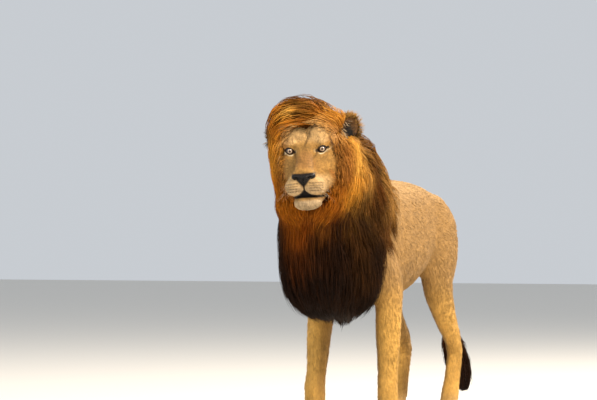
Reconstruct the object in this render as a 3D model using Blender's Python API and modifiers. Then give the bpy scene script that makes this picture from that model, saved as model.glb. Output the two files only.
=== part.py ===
"""A male lion standing alert, at life size, as a still museum model.

Metres, +Z up, the lion faces -Y and its left side is +X.  The origin is the
middle of the footprint of the whole animal, on the floor.

The flesh is made of soft blocks (lofts and ellipsoids) that are fused with a
voxel Remesh, then parted into named pieces with thin cuts.  The mane is an
outer envelope, hollowed by the flesh inside it and parted in five.
"""

import math

import bmesh
import bpy
from mathutils import Euler, Matrix, Vector
from mathutils.bvhtree import BVHTree

# ---------------------------------------------------------------- dimensions
GAP = 0.0004  # clearance between touching pieces
SWELL = 0.0070  # the same where the mane is hollowed by the flesh
FLOOR_SINK = 0.004  # how far the soft pads are pressed flat on the floor

EYE_MIDPOINT = Vector((0.030, -0.600, 1.200))
HEAD_YAW, HEAD_PITCH, HEAD_ROLL = 15.5, 2.0, -4.0  # degrees: to its left, down, left side up
HEAD_FRAME = (
    Matrix.Translation(EYE_MIDPOINT)
    @ Matrix.Rotation(math.radians(HEAD_YAW), 4, "Z")
    @ Matrix.Rotation(math.radians(HEAD_PITCH), 4, "X")
    @ Matrix.Rotation(math.radians(HEAD_ROLL), 4, "Y")
)
EYE_RADIUS = 0.0205
EYE_CENTRE = Vector((0.0678, 0.0030, 0.0000))  # in the head's frame, left eye
EAR_CENTRE = {"left": (0.171, 0.165, 0.080), "right": (-0.157, 0.172, 0.070)}  # the right is tucked in
EAR_RADII = (0.045, 0.023, 0.053)

HIP_HEIGHT = 1.068
WITHERS_HEIGHT = 1.085

# Where the neck is cut from the trunk and the head from the neck: a point, then turns in degrees.
SHOULDER_CUT, SHOULDER_LEAN = (0.000, -0.130, 0.960), (-35, 0, 0)
NECK_CUT, NECK_LEAN = (0.036, -0.375, 1.110), (-18, 0, HEAD_YAW)

# Where each paw stands: x, y of the ankle above it.
FORE_FEET = {"left": (0.150, 0.020), "right": (-0.150, -0.070)}
HIND_FEET = {"left": (0.150, 0.760), "right": (-0.150, 0.900)}
FORE_ANKLE_HEIGHT, HIND_ANKLE_HEIGHT = 0.105, 0.100

TRIANGLES = {  # what each fused form is thinned to before it is cut
    "body": 1540,
    "head": 1460,
    "nose": 160,
    "forepaw": 230,
    "hindpaw": 210,
    "ear": 120,
    "mane": 900,
    "hollow": 950,
    "tuft": 110,
}

COAT = ((0.62, 0.36, 0.15, 1.0), 0.85)
FACE = ((0.58, 0.32, 0.12, 1.0), 0.85)
PALE = ((0.70, 0.50, 0.28, 1.0), 0.85)
GOLD_HAIR = ((0.50, 0.20, 0.035, 1.0), 0.7)
DARK_HAIR = ((0.045, 0.014, 0.005, 1.0), 0.7)
EYE = ((0.55, 0.33, 0.10, 1.0), 0.08)
LEATHER = ((0.012, 0.009, 0.008, 1.0), 0.4)


# ------------------------------------------------------------------- helpers
def clear_scene():
    for obj in list(bpy.data.objects):
        bpy.data.objects.remove(obj)


def collection(name):
    made = bpy.data.collections.new(name)
    bpy.context.scene.collection.children.link(made)
    return made


def material(name, finish):
    made = bpy.data.materials.new(name)
    made.use_nodes = True
    shader = made.node_tree.nodes["Principled BSDF"]
    shader.inputs["Base Color"].default_value = finish[0]
    shader.inputs["Roughness"].default_value = finish[1]
    made.diffuse_color = finish[0]
    return made


def catmull(values, step):
    """Rows of numbers, with `step` rows for each gap, on a smooth curve through them."""
    rows = []
    for i in range(len(values) - 1):
        before = values[max(i - 1, 0)]
        here, there = values[i], values[i + 1]
        after = values[min(i + 2, len(values) - 1)]
        for k in range(step):
            t = k / step
            rows.append(
                [
                    0.5
                    * (
                        2 * b
                        + (c - a) * t
                        + (2 * a - 5 * b + 4 * c - d) * t**2
                        + (3 * b - a - 3 * c + d) * t**3
                    )
                    for a, b, c, d in zip(before, here, there, after)
                ]
            )
    rows.append(list(values[-1]))
    return rows


def skin_rings(bm, rings):
    """Joins rings of points, each a list of the same length, and closes both ends."""
    loops = [[bm.verts.new(point) for point in ring] for ring in rings]
    count = len(loops[0])
    for lower, upper in zip(loops, loops[1:]):
        for i in range(count):
            j = (i + 1) % count
            bm.faces.new((lower[i], lower[j], upper[j], upper[i]))
    bm.faces.new(loops[0][::-1])
    bm.faces.new(loops[-1])
    bmesh.ops.recalc_face_normals(bm, faces=bm.faces)


SIDES = 28


def barrel(bm, stations, fullness=2.2, crest=None, frame=Matrix()):
    """A trunk-like form along Y.  A station is y, top, belly, half width, height of the widest line.

    Each section is a superellipse: 2 is round, more is boxy, and `crest` sets its upper half apart.
    """
    rings = []
    for y, top, belly, half, middle in catmull(stations, 4):
        ring = []
        for i in range(SIDES):
            angle = 2 * math.pi * i / SIDES
            c, s = math.cos(angle), math.sin(angle)
            power = 2 / (crest if crest and s > 0 else fullness)
            across = math.copysign(abs(c) ** power, c)
            up = math.copysign(abs(s) ** power, s)
            rise = top - middle if s > 0 else middle - belly
            ring.append(frame @ Vector((half * across, y, middle + rise * up)))
        rings.append(ring)
    skin_rings(bm, rings)


def limb(bm, stations, side=1, frame=Matrix()):
    """A tapering form along a path.  A station is x, y, z, half width across, half depth fore and aft."""
    rows = catmull(stations, 4)
    path = [Vector((side * x, y, z)) for x, y, z, _, _ in rows]
    rings = []
    for i, (_, _, _, across, deep) in enumerate(rows):
        along = (path[min(i + 1, len(path) - 1)] - path[max(i - 1, 0)]).normalized()
        right = (Vector((1, 0, 0)) - along * along.x).normalized()
        front = along.cross(right)
        ring = []
        for k in range(20):
            angle = 2 * math.pi * k / 20
            offset = right * across * math.cos(angle) + front * deep * math.sin(angle)
            ring.append(frame @ (path[i] + offset))
        rings.append(ring)
    skin_rings(bm, rings)


def ball(bm, centre, radii, turn=(0, 0, 0), frame=Matrix(), sides=24):
    """An ellipsoid with the given radii, turned by degrees about X, Y and Z."""
    place = (
        frame
        @ Matrix.Translation(centre)
        @ Euler([math.radians(a) for a in turn]).to_matrix().to_4x4()
        @ Matrix.Diagonal((*radii, 1))
    )
    bmesh.ops.create_uvsphere(
        bm, u_segments=sides, v_segments=sides // 2, radius=1, matrix=place
    )


def pair(bm, centre, radii, turn=(0, 0, 0), frame=Matrix(), sides=24):
    """The same ellipsoid on the left and, mirrored, on the right."""
    x, y, z = centre
    a, b, c = turn
    ball(bm, (x, y, z), radii, (a, b, c), frame, sides)
    ball(bm, (-x, y, z), radii, (a, -b, -c), frame, sides)


def object_of(name, bm, where):
    mesh = bpy.data.meshes.new(name)
    bm.to_mesh(mesh)
    bm.free()
    made = bpy.data.objects.new(name, mesh)
    where.objects.link(made)
    return made


def evaluated_mesh(obj):
    bpy.context.view_layer.update()
    graph = bpy.context.evaluated_depsgraph_get()
    return bpy.data.meshes.new_from_object(obj.evaluated_get(graph))


def settle(obj):
    """Applies the object's modifiers."""
    mesh = evaluated_mesh(obj)
    obj.modifiers.clear()
    obj.data = mesh


def fuse(name, bm, where, voxel, smoothing, triangles=None):
    """Joins overlapping blocks into one soft closed form, thinned to about that many triangles."""
    made = object_of(name, bm, where)
    remesh = made.modifiers.new("fuse", "REMESH")
    remesh.mode = "VOXEL"
    remesh.voxel_size = voxel
    smooth = made.modifiers.new("soften", "SMOOTH")
    smooth.factor = 0.5
    smooth.iterations = smoothing
    settle(made)
    if triangles:
        thin = made.modifiers.new("thin", "DECIMATE")
        thin.ratio = triangles / (2 * len(made.data.polygons))
        settle(made)
    keep_largest(made)
    return made


def keep_largest(obj):
    """Drops the crumbs that a cut leaves, keeping the biggest closed body."""
    bm = bmesh.new()
    bm.from_mesh(obj.data)
    left = set(bm.verts)
    bodies = []
    while left:
        stack, body = [left.pop()], []
        while stack:
            vert = stack.pop()
            body.append(vert)
            for edge in vert.link_edges:
                other = edge.other_vert(vert)
                if other in left:
                    left.remove(other)
                    stack.append(other)
        bodies.append(body)
    bodies.sort(key=len)
    crumbs = [vert for body in bodies[:-1] for vert in body]
    bmesh.ops.delete(bm, geom=crumbs, context="VERTS")
    bm.to_mesh(obj.data)
    bm.free()


def boolean(obj, tool, operation, solver="EXACT"):
    cut = obj.modifiers.new(operation.lower(), "BOOLEAN")
    cut.operation = operation
    cut.solver = solver
    cut.object = tool


def swollen(obj, where, by):
    """A copy of a form grown by a clearance, to cut its neighbours with."""
    grown = bpy.data.objects.new(obj.name + "_room", obj.data.copy())
    where.objects.link(grown)
    push = grown.modifiers.new("grow", "DISPLACE")
    push.strength = by
    push.mid_level = 0
    settle(grown)
    return hidden(grown)


def hidden(obj):
    obj.hide_render = True
    obj.display_type = "WIRE"
    return obj


def block(name, low, high, where, turn=(0, 0, 0), about=(0, 0, 0), frame=Matrix()):
    """A cutting box from one corner to the other, turned by degrees about a point."""
    low, high = Vector(low), Vector(high)
    size = high - low
    place = (
        frame
        @ Matrix.Translation(about)
        @ Euler([math.radians(a) for a in turn]).to_matrix().to_4x4()
        @ Matrix.Translation((low + high) / 2 - Vector(about))
        @ Matrix.Diagonal((*size, 1))
    )
    bm = bmesh.new()
    bmesh.ops.create_cube(bm, size=1, matrix=place)
    return hidden(object_of(name, bm, where))


def piece(name, source, where, finish, keep=(), remove=(), solver="EXACT"):
    """A copy of a form that keeps what is in some boxes and loses what is in others."""
    made = bpy.data.objects.new(name, source.data.copy())
    where.objects.link(made)
    for tool in keep:
        boolean(made, tool, "INTERSECT", solver)
    for tool in remove:
        boolean(made, tool, "DIFFERENCE", solver)
    settle(made)
    keep_largest(made)
    made.data.materials.clear()
    made.data.materials.append(finish)
    made.data.shade_smooth()
    return made


# --------------------------------------------------------------------- flesh
def body_form(tools):
    """Trunk, neck, legs to the ankles and the tail, as one form."""
    bm = bmesh.new()
    # y, top, belly, half width, widest line
    barrel(
        bm,
        [
            (-0.300, 0.900, 0.680, 0.080, 0.790),
            (-0.220, 0.990, 0.600, 0.140, 0.790),
            (-0.100, 1.060, 0.555, 0.175, 0.800),
            (0.040, WITHERS_HEIGHT, 0.540, 0.190, 0.790),
            (0.200, 1.092, 0.548, 0.200, 0.790),
            (0.360, 1.092, 0.580, 0.198, 0.800),
            (0.520, 1.086, 0.640, 0.176, 0.835),
            (0.680, HIP_HEIGHT, 0.700, 0.152, 0.870),
            (0.820, 1.022, 0.740, 0.132, 0.880),
            (0.930, 0.962, 0.790, 0.092, 0.880),
        ],
    )
    # neck, from between the shoulders up to the back of the skull
    limb(
        bm,
        [
            (0.000, 0.060, 0.900, 0.150, 0.170),
            (0.000, -0.120, 0.960, 0.150, 0.190),
            (0.012, -0.270, 1.050, 0.125, 0.160),
            (0.030, -0.400, 1.130, 0.112, 0.130),
            (0.045, -0.500, 1.170, 0.100, 0.105),
        ],
    )
    pair(bm, (0.120, 0.020, 0.930), (0.075, 0.110, 0.160), (-22, 8, 0))  # shoulder blades
    pair(bm, (0.118, -0.145, 0.800), (0.080, 0.105, 0.125), (25, 0, 0))  # points of the shoulders
    pair(bm, (0.084, 0.690, 0.930), (0.084, 0.160, 0.106), (-8, 0, 0))  # croup
    for side, sign in (("left", 1), ("right", -1)):
        foreleg(bm, sign, *FORE_FEET[side])
        hindleg(bm, sign, *HIND_FEET[side])
    # tail, hanging behind the hocks
    limb(
        bm,
        [
            (0.000, 0.860, 0.970, 0.045, 0.050),
            (0.000, 0.960, 0.935, 0.036, 0.040),
            (0.004, 1.035, 0.840, 0.028, 0.030),
            (0.010, 1.070, 0.700, 0.023, 0.024),
            (0.018, 1.090, 0.520, 0.020, 0.020),
            (0.028, 1.130, 0.350, 0.018, 0.018),
            (0.036, 1.190, 0.250, 0.016, 0.016),
        ],
    )
    return fuse("body_form", bm, tools, 0.011, 12, TRIANGLES["body"])


def foreleg(bm, sign, foot_x, foot_y):
    """Upper arm, forearm and wrist of one foreleg, down to the ankle above the paw."""
    x = abs(foot_x)
    limb(
        bm,
        [
            (0.125, -0.160, 0.830, 0.072, 0.100),
            (0.132, -0.080, 0.740, 0.074, 0.112),
            (0.144, 0.010, 0.640, 0.068, 0.100),
            (0.150, 0.040, 0.580, 0.060, 0.080),
        ],
        sign,
    )
    limb(
        bm,
        [
            (0.150, 0.010, 0.680, 0.064, 0.090),
            (0.153, 0.025, 0.590, 0.062, 0.080),
            (x, 0.5 * foot_y + 0.010, 0.430, 0.058, 0.065),
            (x, 0.8 * foot_y, 0.270, 0.049, 0.052),
            (x, foot_y - 0.008, 0.195, 0.051, 0.054),
            (x, foot_y, 0.130, 0.049, 0.049),
            (x, foot_y - 0.010, 0.085, 0.052, 0.053),
        ],
        sign,
    )


def hindleg(bm, sign, foot_x, foot_y):
    """Thigh, lower leg, hock and instep of one hind leg."""
    x = abs(foot_x)
    swing = foot_y - 0.780  # how far the foot is set back from a square stance
    limb(
        bm,
        [
            (0.074, 0.740, 0.960, 0.064, 0.110),
            (0.104, 0.732 + 0.1 * swing, 0.900, 0.080, 0.164),
            (0.128, 0.690 + 0.3 * swing, 0.780, 0.080, 0.165),
            (0.138, 0.656 + 0.4 * swing, 0.670, 0.070, 0.132),
            (0.142, 0.668 + 0.5 * swing, 0.580, 0.060, 0.095),
            (x, 0.740 + 0.8 * swing, 0.470, 0.050, 0.067),
            (x, 0.830 + swing, 0.380, 0.041, 0.052),
            (x, 0.865 + swing, 0.320, 0.039, 0.048),
        ],
        sign,
    )
    limb(
        bm,
        [
            (x, 0.885 + swing, 0.345, 0.032, 0.036),
            (x, 0.862 + swing, 0.300, 0.039, 0.046),
            (x, 0.832 + swing, 0.220, 0.040, 0.043),
            (x, 0.805 + swing, 0.140, 0.043, 0.043),
            (x, 0.780 + swing, 0.085, 0.048, 0.049),
        ],
        sign,
    )


def paw_form(name, tools, width, length, ankle, triangles):
    """A paw whose ankle stands over the origin: four toes in front of one broad pad, cut flat below."""
    bm = bmesh.new()
    half = width / 2
    reach = length * 0.62
    ball(bm, (0, -0.030, 0.044), (half * 0.86, 0.068, 0.040))
    limb(
        bm,
        [
            (0.000, 0.000, ankle + 0.050, ankle * 0.41, ankle * 0.42),
            (0.000, -0.006, ankle - 0.020, ankle * 0.44, ankle * 0.46),
            (0.000, -0.028, 0.045, half * 0.74, 0.056),
        ],
    )
    for across, forward in ((-0.69, 0.74), (-0.25, 1.0), (0.25, 1.0), (0.69, 0.74)):
        toe = Vector((across * half, -reach * forward, 0.028))
        ball(bm, toe, (half * 0.30, 0.036, 0.031), (12, 0, 0))
        ball(bm, (toe.x * 0.82, toe.y + 0.042, 0.048), (half * 0.27, 0.042, 0.026), (24, 0, 0))
    for across in (-0.42, 0.42):
        ball(bm, (across * half, 0.004, 0.018), (half * 0.40, 0.030, 0.022))
    form = fuse(name, bm, tools, 0.0048, 4, triangles)
    below = block(name + "_floor", (-1, -1, -1), (1, 1, FLOOR_SINK), tools)
    boolean(form, below, "DIFFERENCE")
    settle(form)
    form.data.transform(Matrix.Translation((0, 0, -FLOOR_SINK)))
    return form


def head_form(tools):
    """The skull and face under short fur, in the head's own frame: forward is -Y."""
    bm = bmesh.new()
    at = HEAD_FRAME
    # each station: y, top, bottom, half width, height of the widest line
    skull = [
        (0.290, 0.050, -0.090, 0.070, -0.020),
        (0.220, 0.100, -0.140, 0.110, -0.020),
        (0.130, 0.122, -0.175, 0.140, -0.030),
        (0.070, 0.106, -0.192, 0.149, -0.040),
        (0.025, 0.066, -0.198, 0.138, -0.055),
        (-0.010, 0.020, -0.202, 0.110, -0.080),
        (-0.045, -0.032, -0.205, 0.080, -0.110),
        (-0.080, -0.080, -0.195, 0.050, -0.130),
    ]
    upper_lip = [
        (0.035, -0.040, -0.190, 0.090, -0.120),
        (-0.030, -0.050, -0.194, 0.086, -0.132),
        (-0.080, -0.068, -0.196, 0.083, -0.142),
        (-0.120, -0.086, -0.193, 0.075, -0.146),
        (-0.146, -0.105, -0.180, 0.056, -0.146),
        (-0.156, -0.122, -0.168, 0.030, -0.146),
    ]
    lower_jaw = [
        (0.140, -0.080, -0.172, 0.104, -0.130),
        (0.050, -0.130, -0.212, 0.084, -0.170),
        (-0.030, -0.150, -0.236, 0.064, -0.190),
        (-0.080, -0.160, -0.245, 0.056, -0.202),
        (-0.116, -0.168, -0.241, 0.046, -0.205),
        (-0.134, -0.180, -0.226, 0.028, -0.205),
    ]
    barrel(bm, skull, fullness=2.4, crest=1.9, frame=at)
    barrel(bm, upper_lip, fullness=2.7, crest=2.0, frame=at)
    barrel(bm, lower_jaw, fullness=2.6, frame=at)
    limb(  # bridge of the nose, broad and flat
        bm,
        [
            (0.000, 0.060, 0.034, 0.056, 0.040),
            (0.000, 0.010, 0.008, 0.041, 0.036),
            (0.000, -0.045, -0.034, 0.035, 0.032),
            (0.000, -0.100, -0.074, 0.037, 0.028),
            (0.000, -0.140, -0.104, 0.038, 0.024),
        ],
        frame=at,
    )
    pair(bm, (0.045, 0.085, 0.052), (0.070, 0.080, 0.058), (-20, 8, 0), at)  # forehead
    pair(bm, (0.064, 0.026, 0.033), (0.040, 0.030, 0.016), (0, 6, 16), at)  # brows
    pair(bm, (0.092, 0.062, -0.050), (0.050, 0.072, 0.046), (0, 0, 18), at)  # cheekbones
    pair(bm, (0.066, 0.006, 0.0165), (0.027, 0.021, 0.0085), (0, 6, 0), at)  # upper lids
    pair(bm, (0.066, 0.007, -0.0185), (0.027, 0.020, 0.0090), (0, 4, 0), at)  # lower lids
    pair(bm, (0.041, -0.118, -0.149), (0.041, 0.043, 0.035), (0, 0, 18), at)  # whisker pads
    ball(bm, (0, -0.098, -0.212), (0.042, 0.040, 0.030), (-8, 0, 0), at)  # chin
    form = fuse("head_form", bm, tools, 0.0042, 5, 4 * TRIANGLES["head"])
    carve_face(form, tools)
    thin = form.modifiers.new("thin", "DECIMATE")
    thin.ratio = TRIANGLES["head"] / sum(len(p.vertices) - 2 for p in form.data.polygons)
    settle(form)
    return form


def nose_form(tools):
    """The leather of the nose: a blunt triangle, wide above, with a nostril on each side."""
    bm = bmesh.new()
    at = HEAD_FRAME
    pair(bm, (0.026, -0.142, -0.107), (0.021, 0.022, 0.016), (0, 12, 24), at)
    pair(bm, (0.012, -0.148, -0.118), (0.021, 0.023, 0.023), (0, 0, 12), at)
    ball(bm, (0, -0.150, -0.128), (0.013, 0.021, 0.028), frame=at)
    form = fuse("nose_form", bm, tools, 0.0021, 3, TRIANGLES["nose"])
    bm = bmesh.new()
    pair(bm, (0.0260, -0.166, -0.114), (0.0085, 0.0085, 0.0058), (0, -18, 20), at, sides=10)
    nostrils = hidden(object_of("nostrils", bm, tools))
    return form, nostrils


def groove(name, form, marks, radius, tools):
    """A cutting tube along the nearest places on a form to marks in the head's frame."""
    surface = BVHTree.FromPolygons(
        [HEAD_FRAME.inverted() @ vert.co for vert in form.data.vertices],
        [tuple(face.vertices) for face in form.data.polygons],
    )
    line = bpy.data.curves.new(name, "CURVE")
    line.dimensions = "3D"
    line.bevel_depth = radius
    line.bevel_resolution = 1
    line.use_fill_caps = True
    spline = line.splines.new("POLY")
    spline.points.add(len(marks) - 1)
    for point, mark in zip(spline.points, marks):
        nearest = surface.find_nearest(Vector(mark))[0]
        point.co = (*(HEAD_FRAME @ nearest), 1)
    guide = bpy.data.objects.new(name + "_line", line)
    tools.objects.link(guide)
    mesh = evaluated_mesh(guide)
    bpy.data.objects.remove(guide)
    bm = bmesh.new()
    bm.from_mesh(mesh)
    bmesh.ops.remove_doubles(bm, verts=bm.verts, dist=1e-5)
    return hidden(object_of(name, bm, tools))


def carve_face(form, tools):
    """The line of the mouth and the cleft under the nose."""
    half = [
        (0.088, -0.040, -0.204),
        (0.074, -0.095, -0.201),
        (0.046, -0.150, -0.190),
        (0.022, -0.175, -0.183),
        (0.007, -0.185, -0.175),
    ]
    mouth = [(-x, y, z) for x, y, z in half] + half[::-1]
    cleft = [(0, -0.190, -0.150), (0, -0.190, -0.162), (0, -0.190, -0.176)]
    boolean(form, groove("mouth", form, mouth, 0.0055, tools), "DIFFERENCE")
    boolean(form, groove("cleft", form, cleft, 0.0045, tools), "DIFFERENCE")
    settle(form)


def ear_place(side):
    """The frame of one ear, which faces forward and out."""
    sign = 1 if side == "left" else -1
    return (
        HEAD_FRAME
        @ Matrix.Translation(EAR_CENTRE[side])
        @ Euler([math.radians(a) for a in (-8, sign * 22, sign * 28)]).to_matrix().to_4x4()
    )


def ear_balls(side):
    """Centre and radii, in the ear's frame, of its upright disc and of its root."""
    inward = -0.022 if side == "left" else 0.022
    return [((0, 0.006, 0), EAR_RADII), ((inward, 0.026, -0.044), (0.040, 0.034, 0.042))]


def ear_form(side, tools):
    """A round ear: an upright disc on a broad root, dished in front."""
    place = ear_place(side)
    bm = bmesh.new()
    for centre, radii in ear_balls(side):
        ball(bm, centre, radii, frame=place)
    form = fuse("ear_" + side + "_form", bm, tools, 0.0045, 1, TRIANGLES["ear"])
    bm = bmesh.new()
    ball(bm, (0, -0.025, 0.004), (0.038, 0.033, 0.045), frame=place, sides=14)
    boolean(form, hidden(object_of("dish_" + side, bm, tools)), "DIFFERENCE")
    settle(form)
    return form


# ---------------------------------------------------------------------- mane
def mane_form(tools):
    """The whole outer shape of the mane, wind swept to the lion's right over the brow."""
    bm = bmesh.new()
    at = HEAD_FRAME
    ball(bm, (-0.018, 0.115, 0.120), (0.134, 0.125, 0.108), frame=at)  # crown
    ball(bm, (-0.067, 0.066, 0.132), (0.080, 0.085, 0.074), (0, -16, 0), at)  # forelock
    ball(bm, (-0.112, 0.066, 0.100), (0.052, 0.060, 0.052), frame=at)  # its curl
    ball(bm, (0.092, 0.120, 0.094), (0.080, 0.095, 0.080), frame=at)
    ball(bm, (0.138, 0.108, -0.056), (0.068, 0.112, 0.170), (0, 4, 0), at)  # left ruff
    ball(bm, (-0.108, 0.104, -0.064), (0.054, 0.112, 0.176), (0, -4, 0), at)  # right ruff
    ball(bm, (0.000, 0.080, -0.225), (0.155, 0.120, 0.110), frame=at)  # throat
    ball(bm, (0.008, 0.262, 0.014), (0.180, 0.170, 0.190), frame=at)  # nape
    limb(  # round the neck to the withers
        bm,
        [
            (0.030, -0.440, 1.130, 0.205, 0.230),
            (0.012, -0.300, 1.070, 0.206, 0.255),
            (0.004, -0.170, 0.985, 0.220, 0.252),
            (0.000, -0.060, 0.930, 0.196, 0.200),
            (0.000, 0.020, 0.930, 0.150, 0.120),
        ],
    )
    # chest and shoulders, as stations of y, top, bottom, half width, widest line
    chest = [
        (-0.570, 0.960, 0.800, 0.055, 0.900),
        (-0.535, 1.000, 0.690, 0.100, 0.880),
        (-0.470, 1.030, 0.590, 0.143, 0.850),
        (-0.380, 1.060, 0.530, 0.185, 0.820),
        (-0.260, 1.080, 0.500, 0.213, 0.800),
        (-0.150, 1.080, 0.515, 0.203, 0.820),
        (-0.070, 1.090, 0.600, 0.180, 0.880),
        (-0.010, 1.070, 0.760, 0.140, 0.940),
    ]
    barrel(bm, chest, fullness=2.9, crest=2.0)
    ball(bm, (0.000, 0.070, 1.050), (0.090, 0.150, 0.075), (-6, 0, 0))  # point on the withers
    return fuse("mane_form", bm, tools, 0.013, 6, TRIANGLES["mane"])


def tuft_form(tools):
    """The brush at the end of the tail."""
    bm = bmesh.new()
    limb(
        bm,
        [
            (0.024, 1.105, 0.420, 0.022, 0.022),
            (0.028, 1.130, 0.350, 0.042, 0.044),
            (0.036, 1.180, 0.260, 0.050, 0.054),
            (0.044, 1.215, 0.190, 0.040, 0.042),
            (0.050, 1.235, 0.125, 0.014, 0.015),
        ],
    )
    return fuse("tuft_form", bm, tools, 0.007, 2, TRIANGLES["tuft"])


# -------------------------------------------------------------------- parts
def build():
    clear_scene()
    parts, tools = collection("lion"), collection("cutters")
    tools.hide_render = True
    coat, face, pale = material("coat", COAT), material("face_fur", FACE), material("paw_fur", PALE)
    gold, dark = material("mane_gold", GOLD_HAIR), material("mane_dark", DARK_HAIR)
    glass, leather = material("eye", EYE), material("nose_leather", LEATHER)

    body, head, mane = body_form(tools), head_form(tools), mane_form(tools)
    tuft = tuft_form(tools)
    ears = {side: ear_form(side, tools) for side in ("left", "right")}

    regions(parts, tools, body, coat, tuft, dark)
    head_pieces(parts, tools, head, ears, face, glass, leather)
    paws(parts, tools, pale)
    mane_pieces(parts, tools, mane, body, head, gold, dark)
    centre(parts)


def regions(parts, tools, body, coat, tuft, dark):
    """Parts the body form into trunk, neck, legs and tail."""
    low_y, high_y, far = -1.2, 1.6, 0.6

    def both(name, low, high, **turned):
        grown_low = Vector(low) - Vector((GAP,) * 3)
        grown_high = Vector(high) + Vector((GAP,) * 3)
        return (
            block(name, low, high, tools, **turned),
            block(name + "_room", grown_low, grown_high, tools, **turned),
        )

    x, y, z = SHOULDER_CUT
    tilt = dict(turn=SHOULDER_LEAN, about=SHOULDER_CUT)
    neck, neck_room = both("neck_box", (-far, low_y, z - far), (far, y, z + far), **tilt)
    x, y, z = NECK_CUT
    lean = dict(turn=NECK_LEAN, about=NECK_CUT)
    front = block("head_side", (-far, low_y, z - far), (far, y, z + far), tools, **lean)

    legs, rooms = [], [neck_room]
    for side, sign in (("left", 1), ("right", -1)):
        inner, outer = sorted((sign * 0.085, sign * far))
        fore, fore_room = both(
            "foreleg_box_" + side, (inner, -0.42, -0.2), (outer, 0.140, 0.730)
        )
        inner, outer = sorted((sign * 0.070, sign * far))
        hind, hind_room = both(
            "hindleg_box_" + side,
            (inner, 0.470, -0.2),
            (outer, 1.300, 0.860),
            turn=(-10, 0, 0),
            about=(0, 0.70, 0.86),
        )
        legs.append((side, fore, hind))
        rooms += [fore_room, hind_room]
    tail, tail_room = both("tail_box", (-0.066, 0.945, -0.2), (0.066, high_y, 1.06))
    rooms.append(tail_room)

    piece("trunk", body, parts, coat, remove=rooms)
    piece("neck", body, parts, coat, keep=[neck], remove=[front])
    for side, fore, hind in legs:
        paw_line = block(
            "paws_" + side, (-far, low_y, -1), (far, 0.4, FORE_ANKLE_HEIGHT + GAP), tools
        )
        piece("foreleg_" + side, body, parts, coat, keep=[fore], remove=[neck_room, paw_line])
        paw_line = block(
            "hindpaws_" + side, (-far, 0.4, -1), (far, high_y, HIND_ANKLE_HEIGHT + GAP), tools
        )
        piece("hindleg_" + side, body, parts, coat, keep=[hind], remove=[paw_line, tail_room])
    brush_room = swollen(tuft, tools, GAP)
    piece("tail", body, parts, coat, keep=[tail], remove=[brush_room])
    piece("tail_tuft", tuft, parts, dark)


def head_pieces(parts, tools, head, ears, face, glass, leather):
    """The head in front of the neck cut, with its nose, eyes and ears."""
    x, y, z = NECK_CUT
    lean = dict(turn=NECK_LEAN, about=NECK_CUT)
    behind = block(
        "neck_side", (-1, y - GAP, z - 1), (1, y + 2, z + 1), tools, **lean
    )
    nose, nostrils = nose_form(tools)
    bm = bmesh.new()
    pair(bm, EYE_CENTRE, (EYE_RADIUS + 2 * GAP,) * 3, (90, 0, 0), HEAD_FRAME, sides=12)
    sockets = hidden(object_of("sockets", bm, tools))
    piece("head", head, parts, face, remove=[behind, swollen(nose, tools, GAP), sockets])
    piece("nose", nose, parts, leather, remove=[nostrils])
    head_room = swollen(head, tools, GAP)
    for side, sign in (("left", 1), ("right", -1)):
        x, y, z = EYE_CENTRE
        bm = bmesh.new()
        ball(bm, (sign * x, y, z), (EYE_RADIUS,) * 3, (90, 0, 0), HEAD_FRAME, sides=12)
        eye = object_of("eye_" + side, bm, parts)
        eye.data.materials.append(glass)
        eye.data.shade_smooth()
        piece("ear_" + side, ears[side], parts, face, remove=[head_room])


def paws(parts, tools, pale):
    fore = paw_form("forepaw_form", tools, 0.135, 0.155, FORE_ANKLE_HEIGHT, TRIANGLES["forepaw"])
    hind = paw_form("hindpaw_form", tools, 0.120, 0.145, HIND_ANKLE_HEIGHT, TRIANGLES["hindpaw"])
    for form, feet, name, height in (
        (fore, FORE_FEET, "forepaw_", FORE_ANKLE_HEIGHT),
        (hind, HIND_FEET, "hindpaw_", HIND_ANKLE_HEIGHT),
    ):
        above = block(name + "top", (-1, -1, height), (1, 1, 1), tools)
        for side, (x, y) in feet.items():
            made = piece(name + side, form, parts, pale, remove=[above])
            turn = Matrix.Rotation(math.radians(6 if x > 0 else -6), 4, "Z")
            made.data.transform(Matrix.Translation((x, y, 0)) @ turn)


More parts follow.
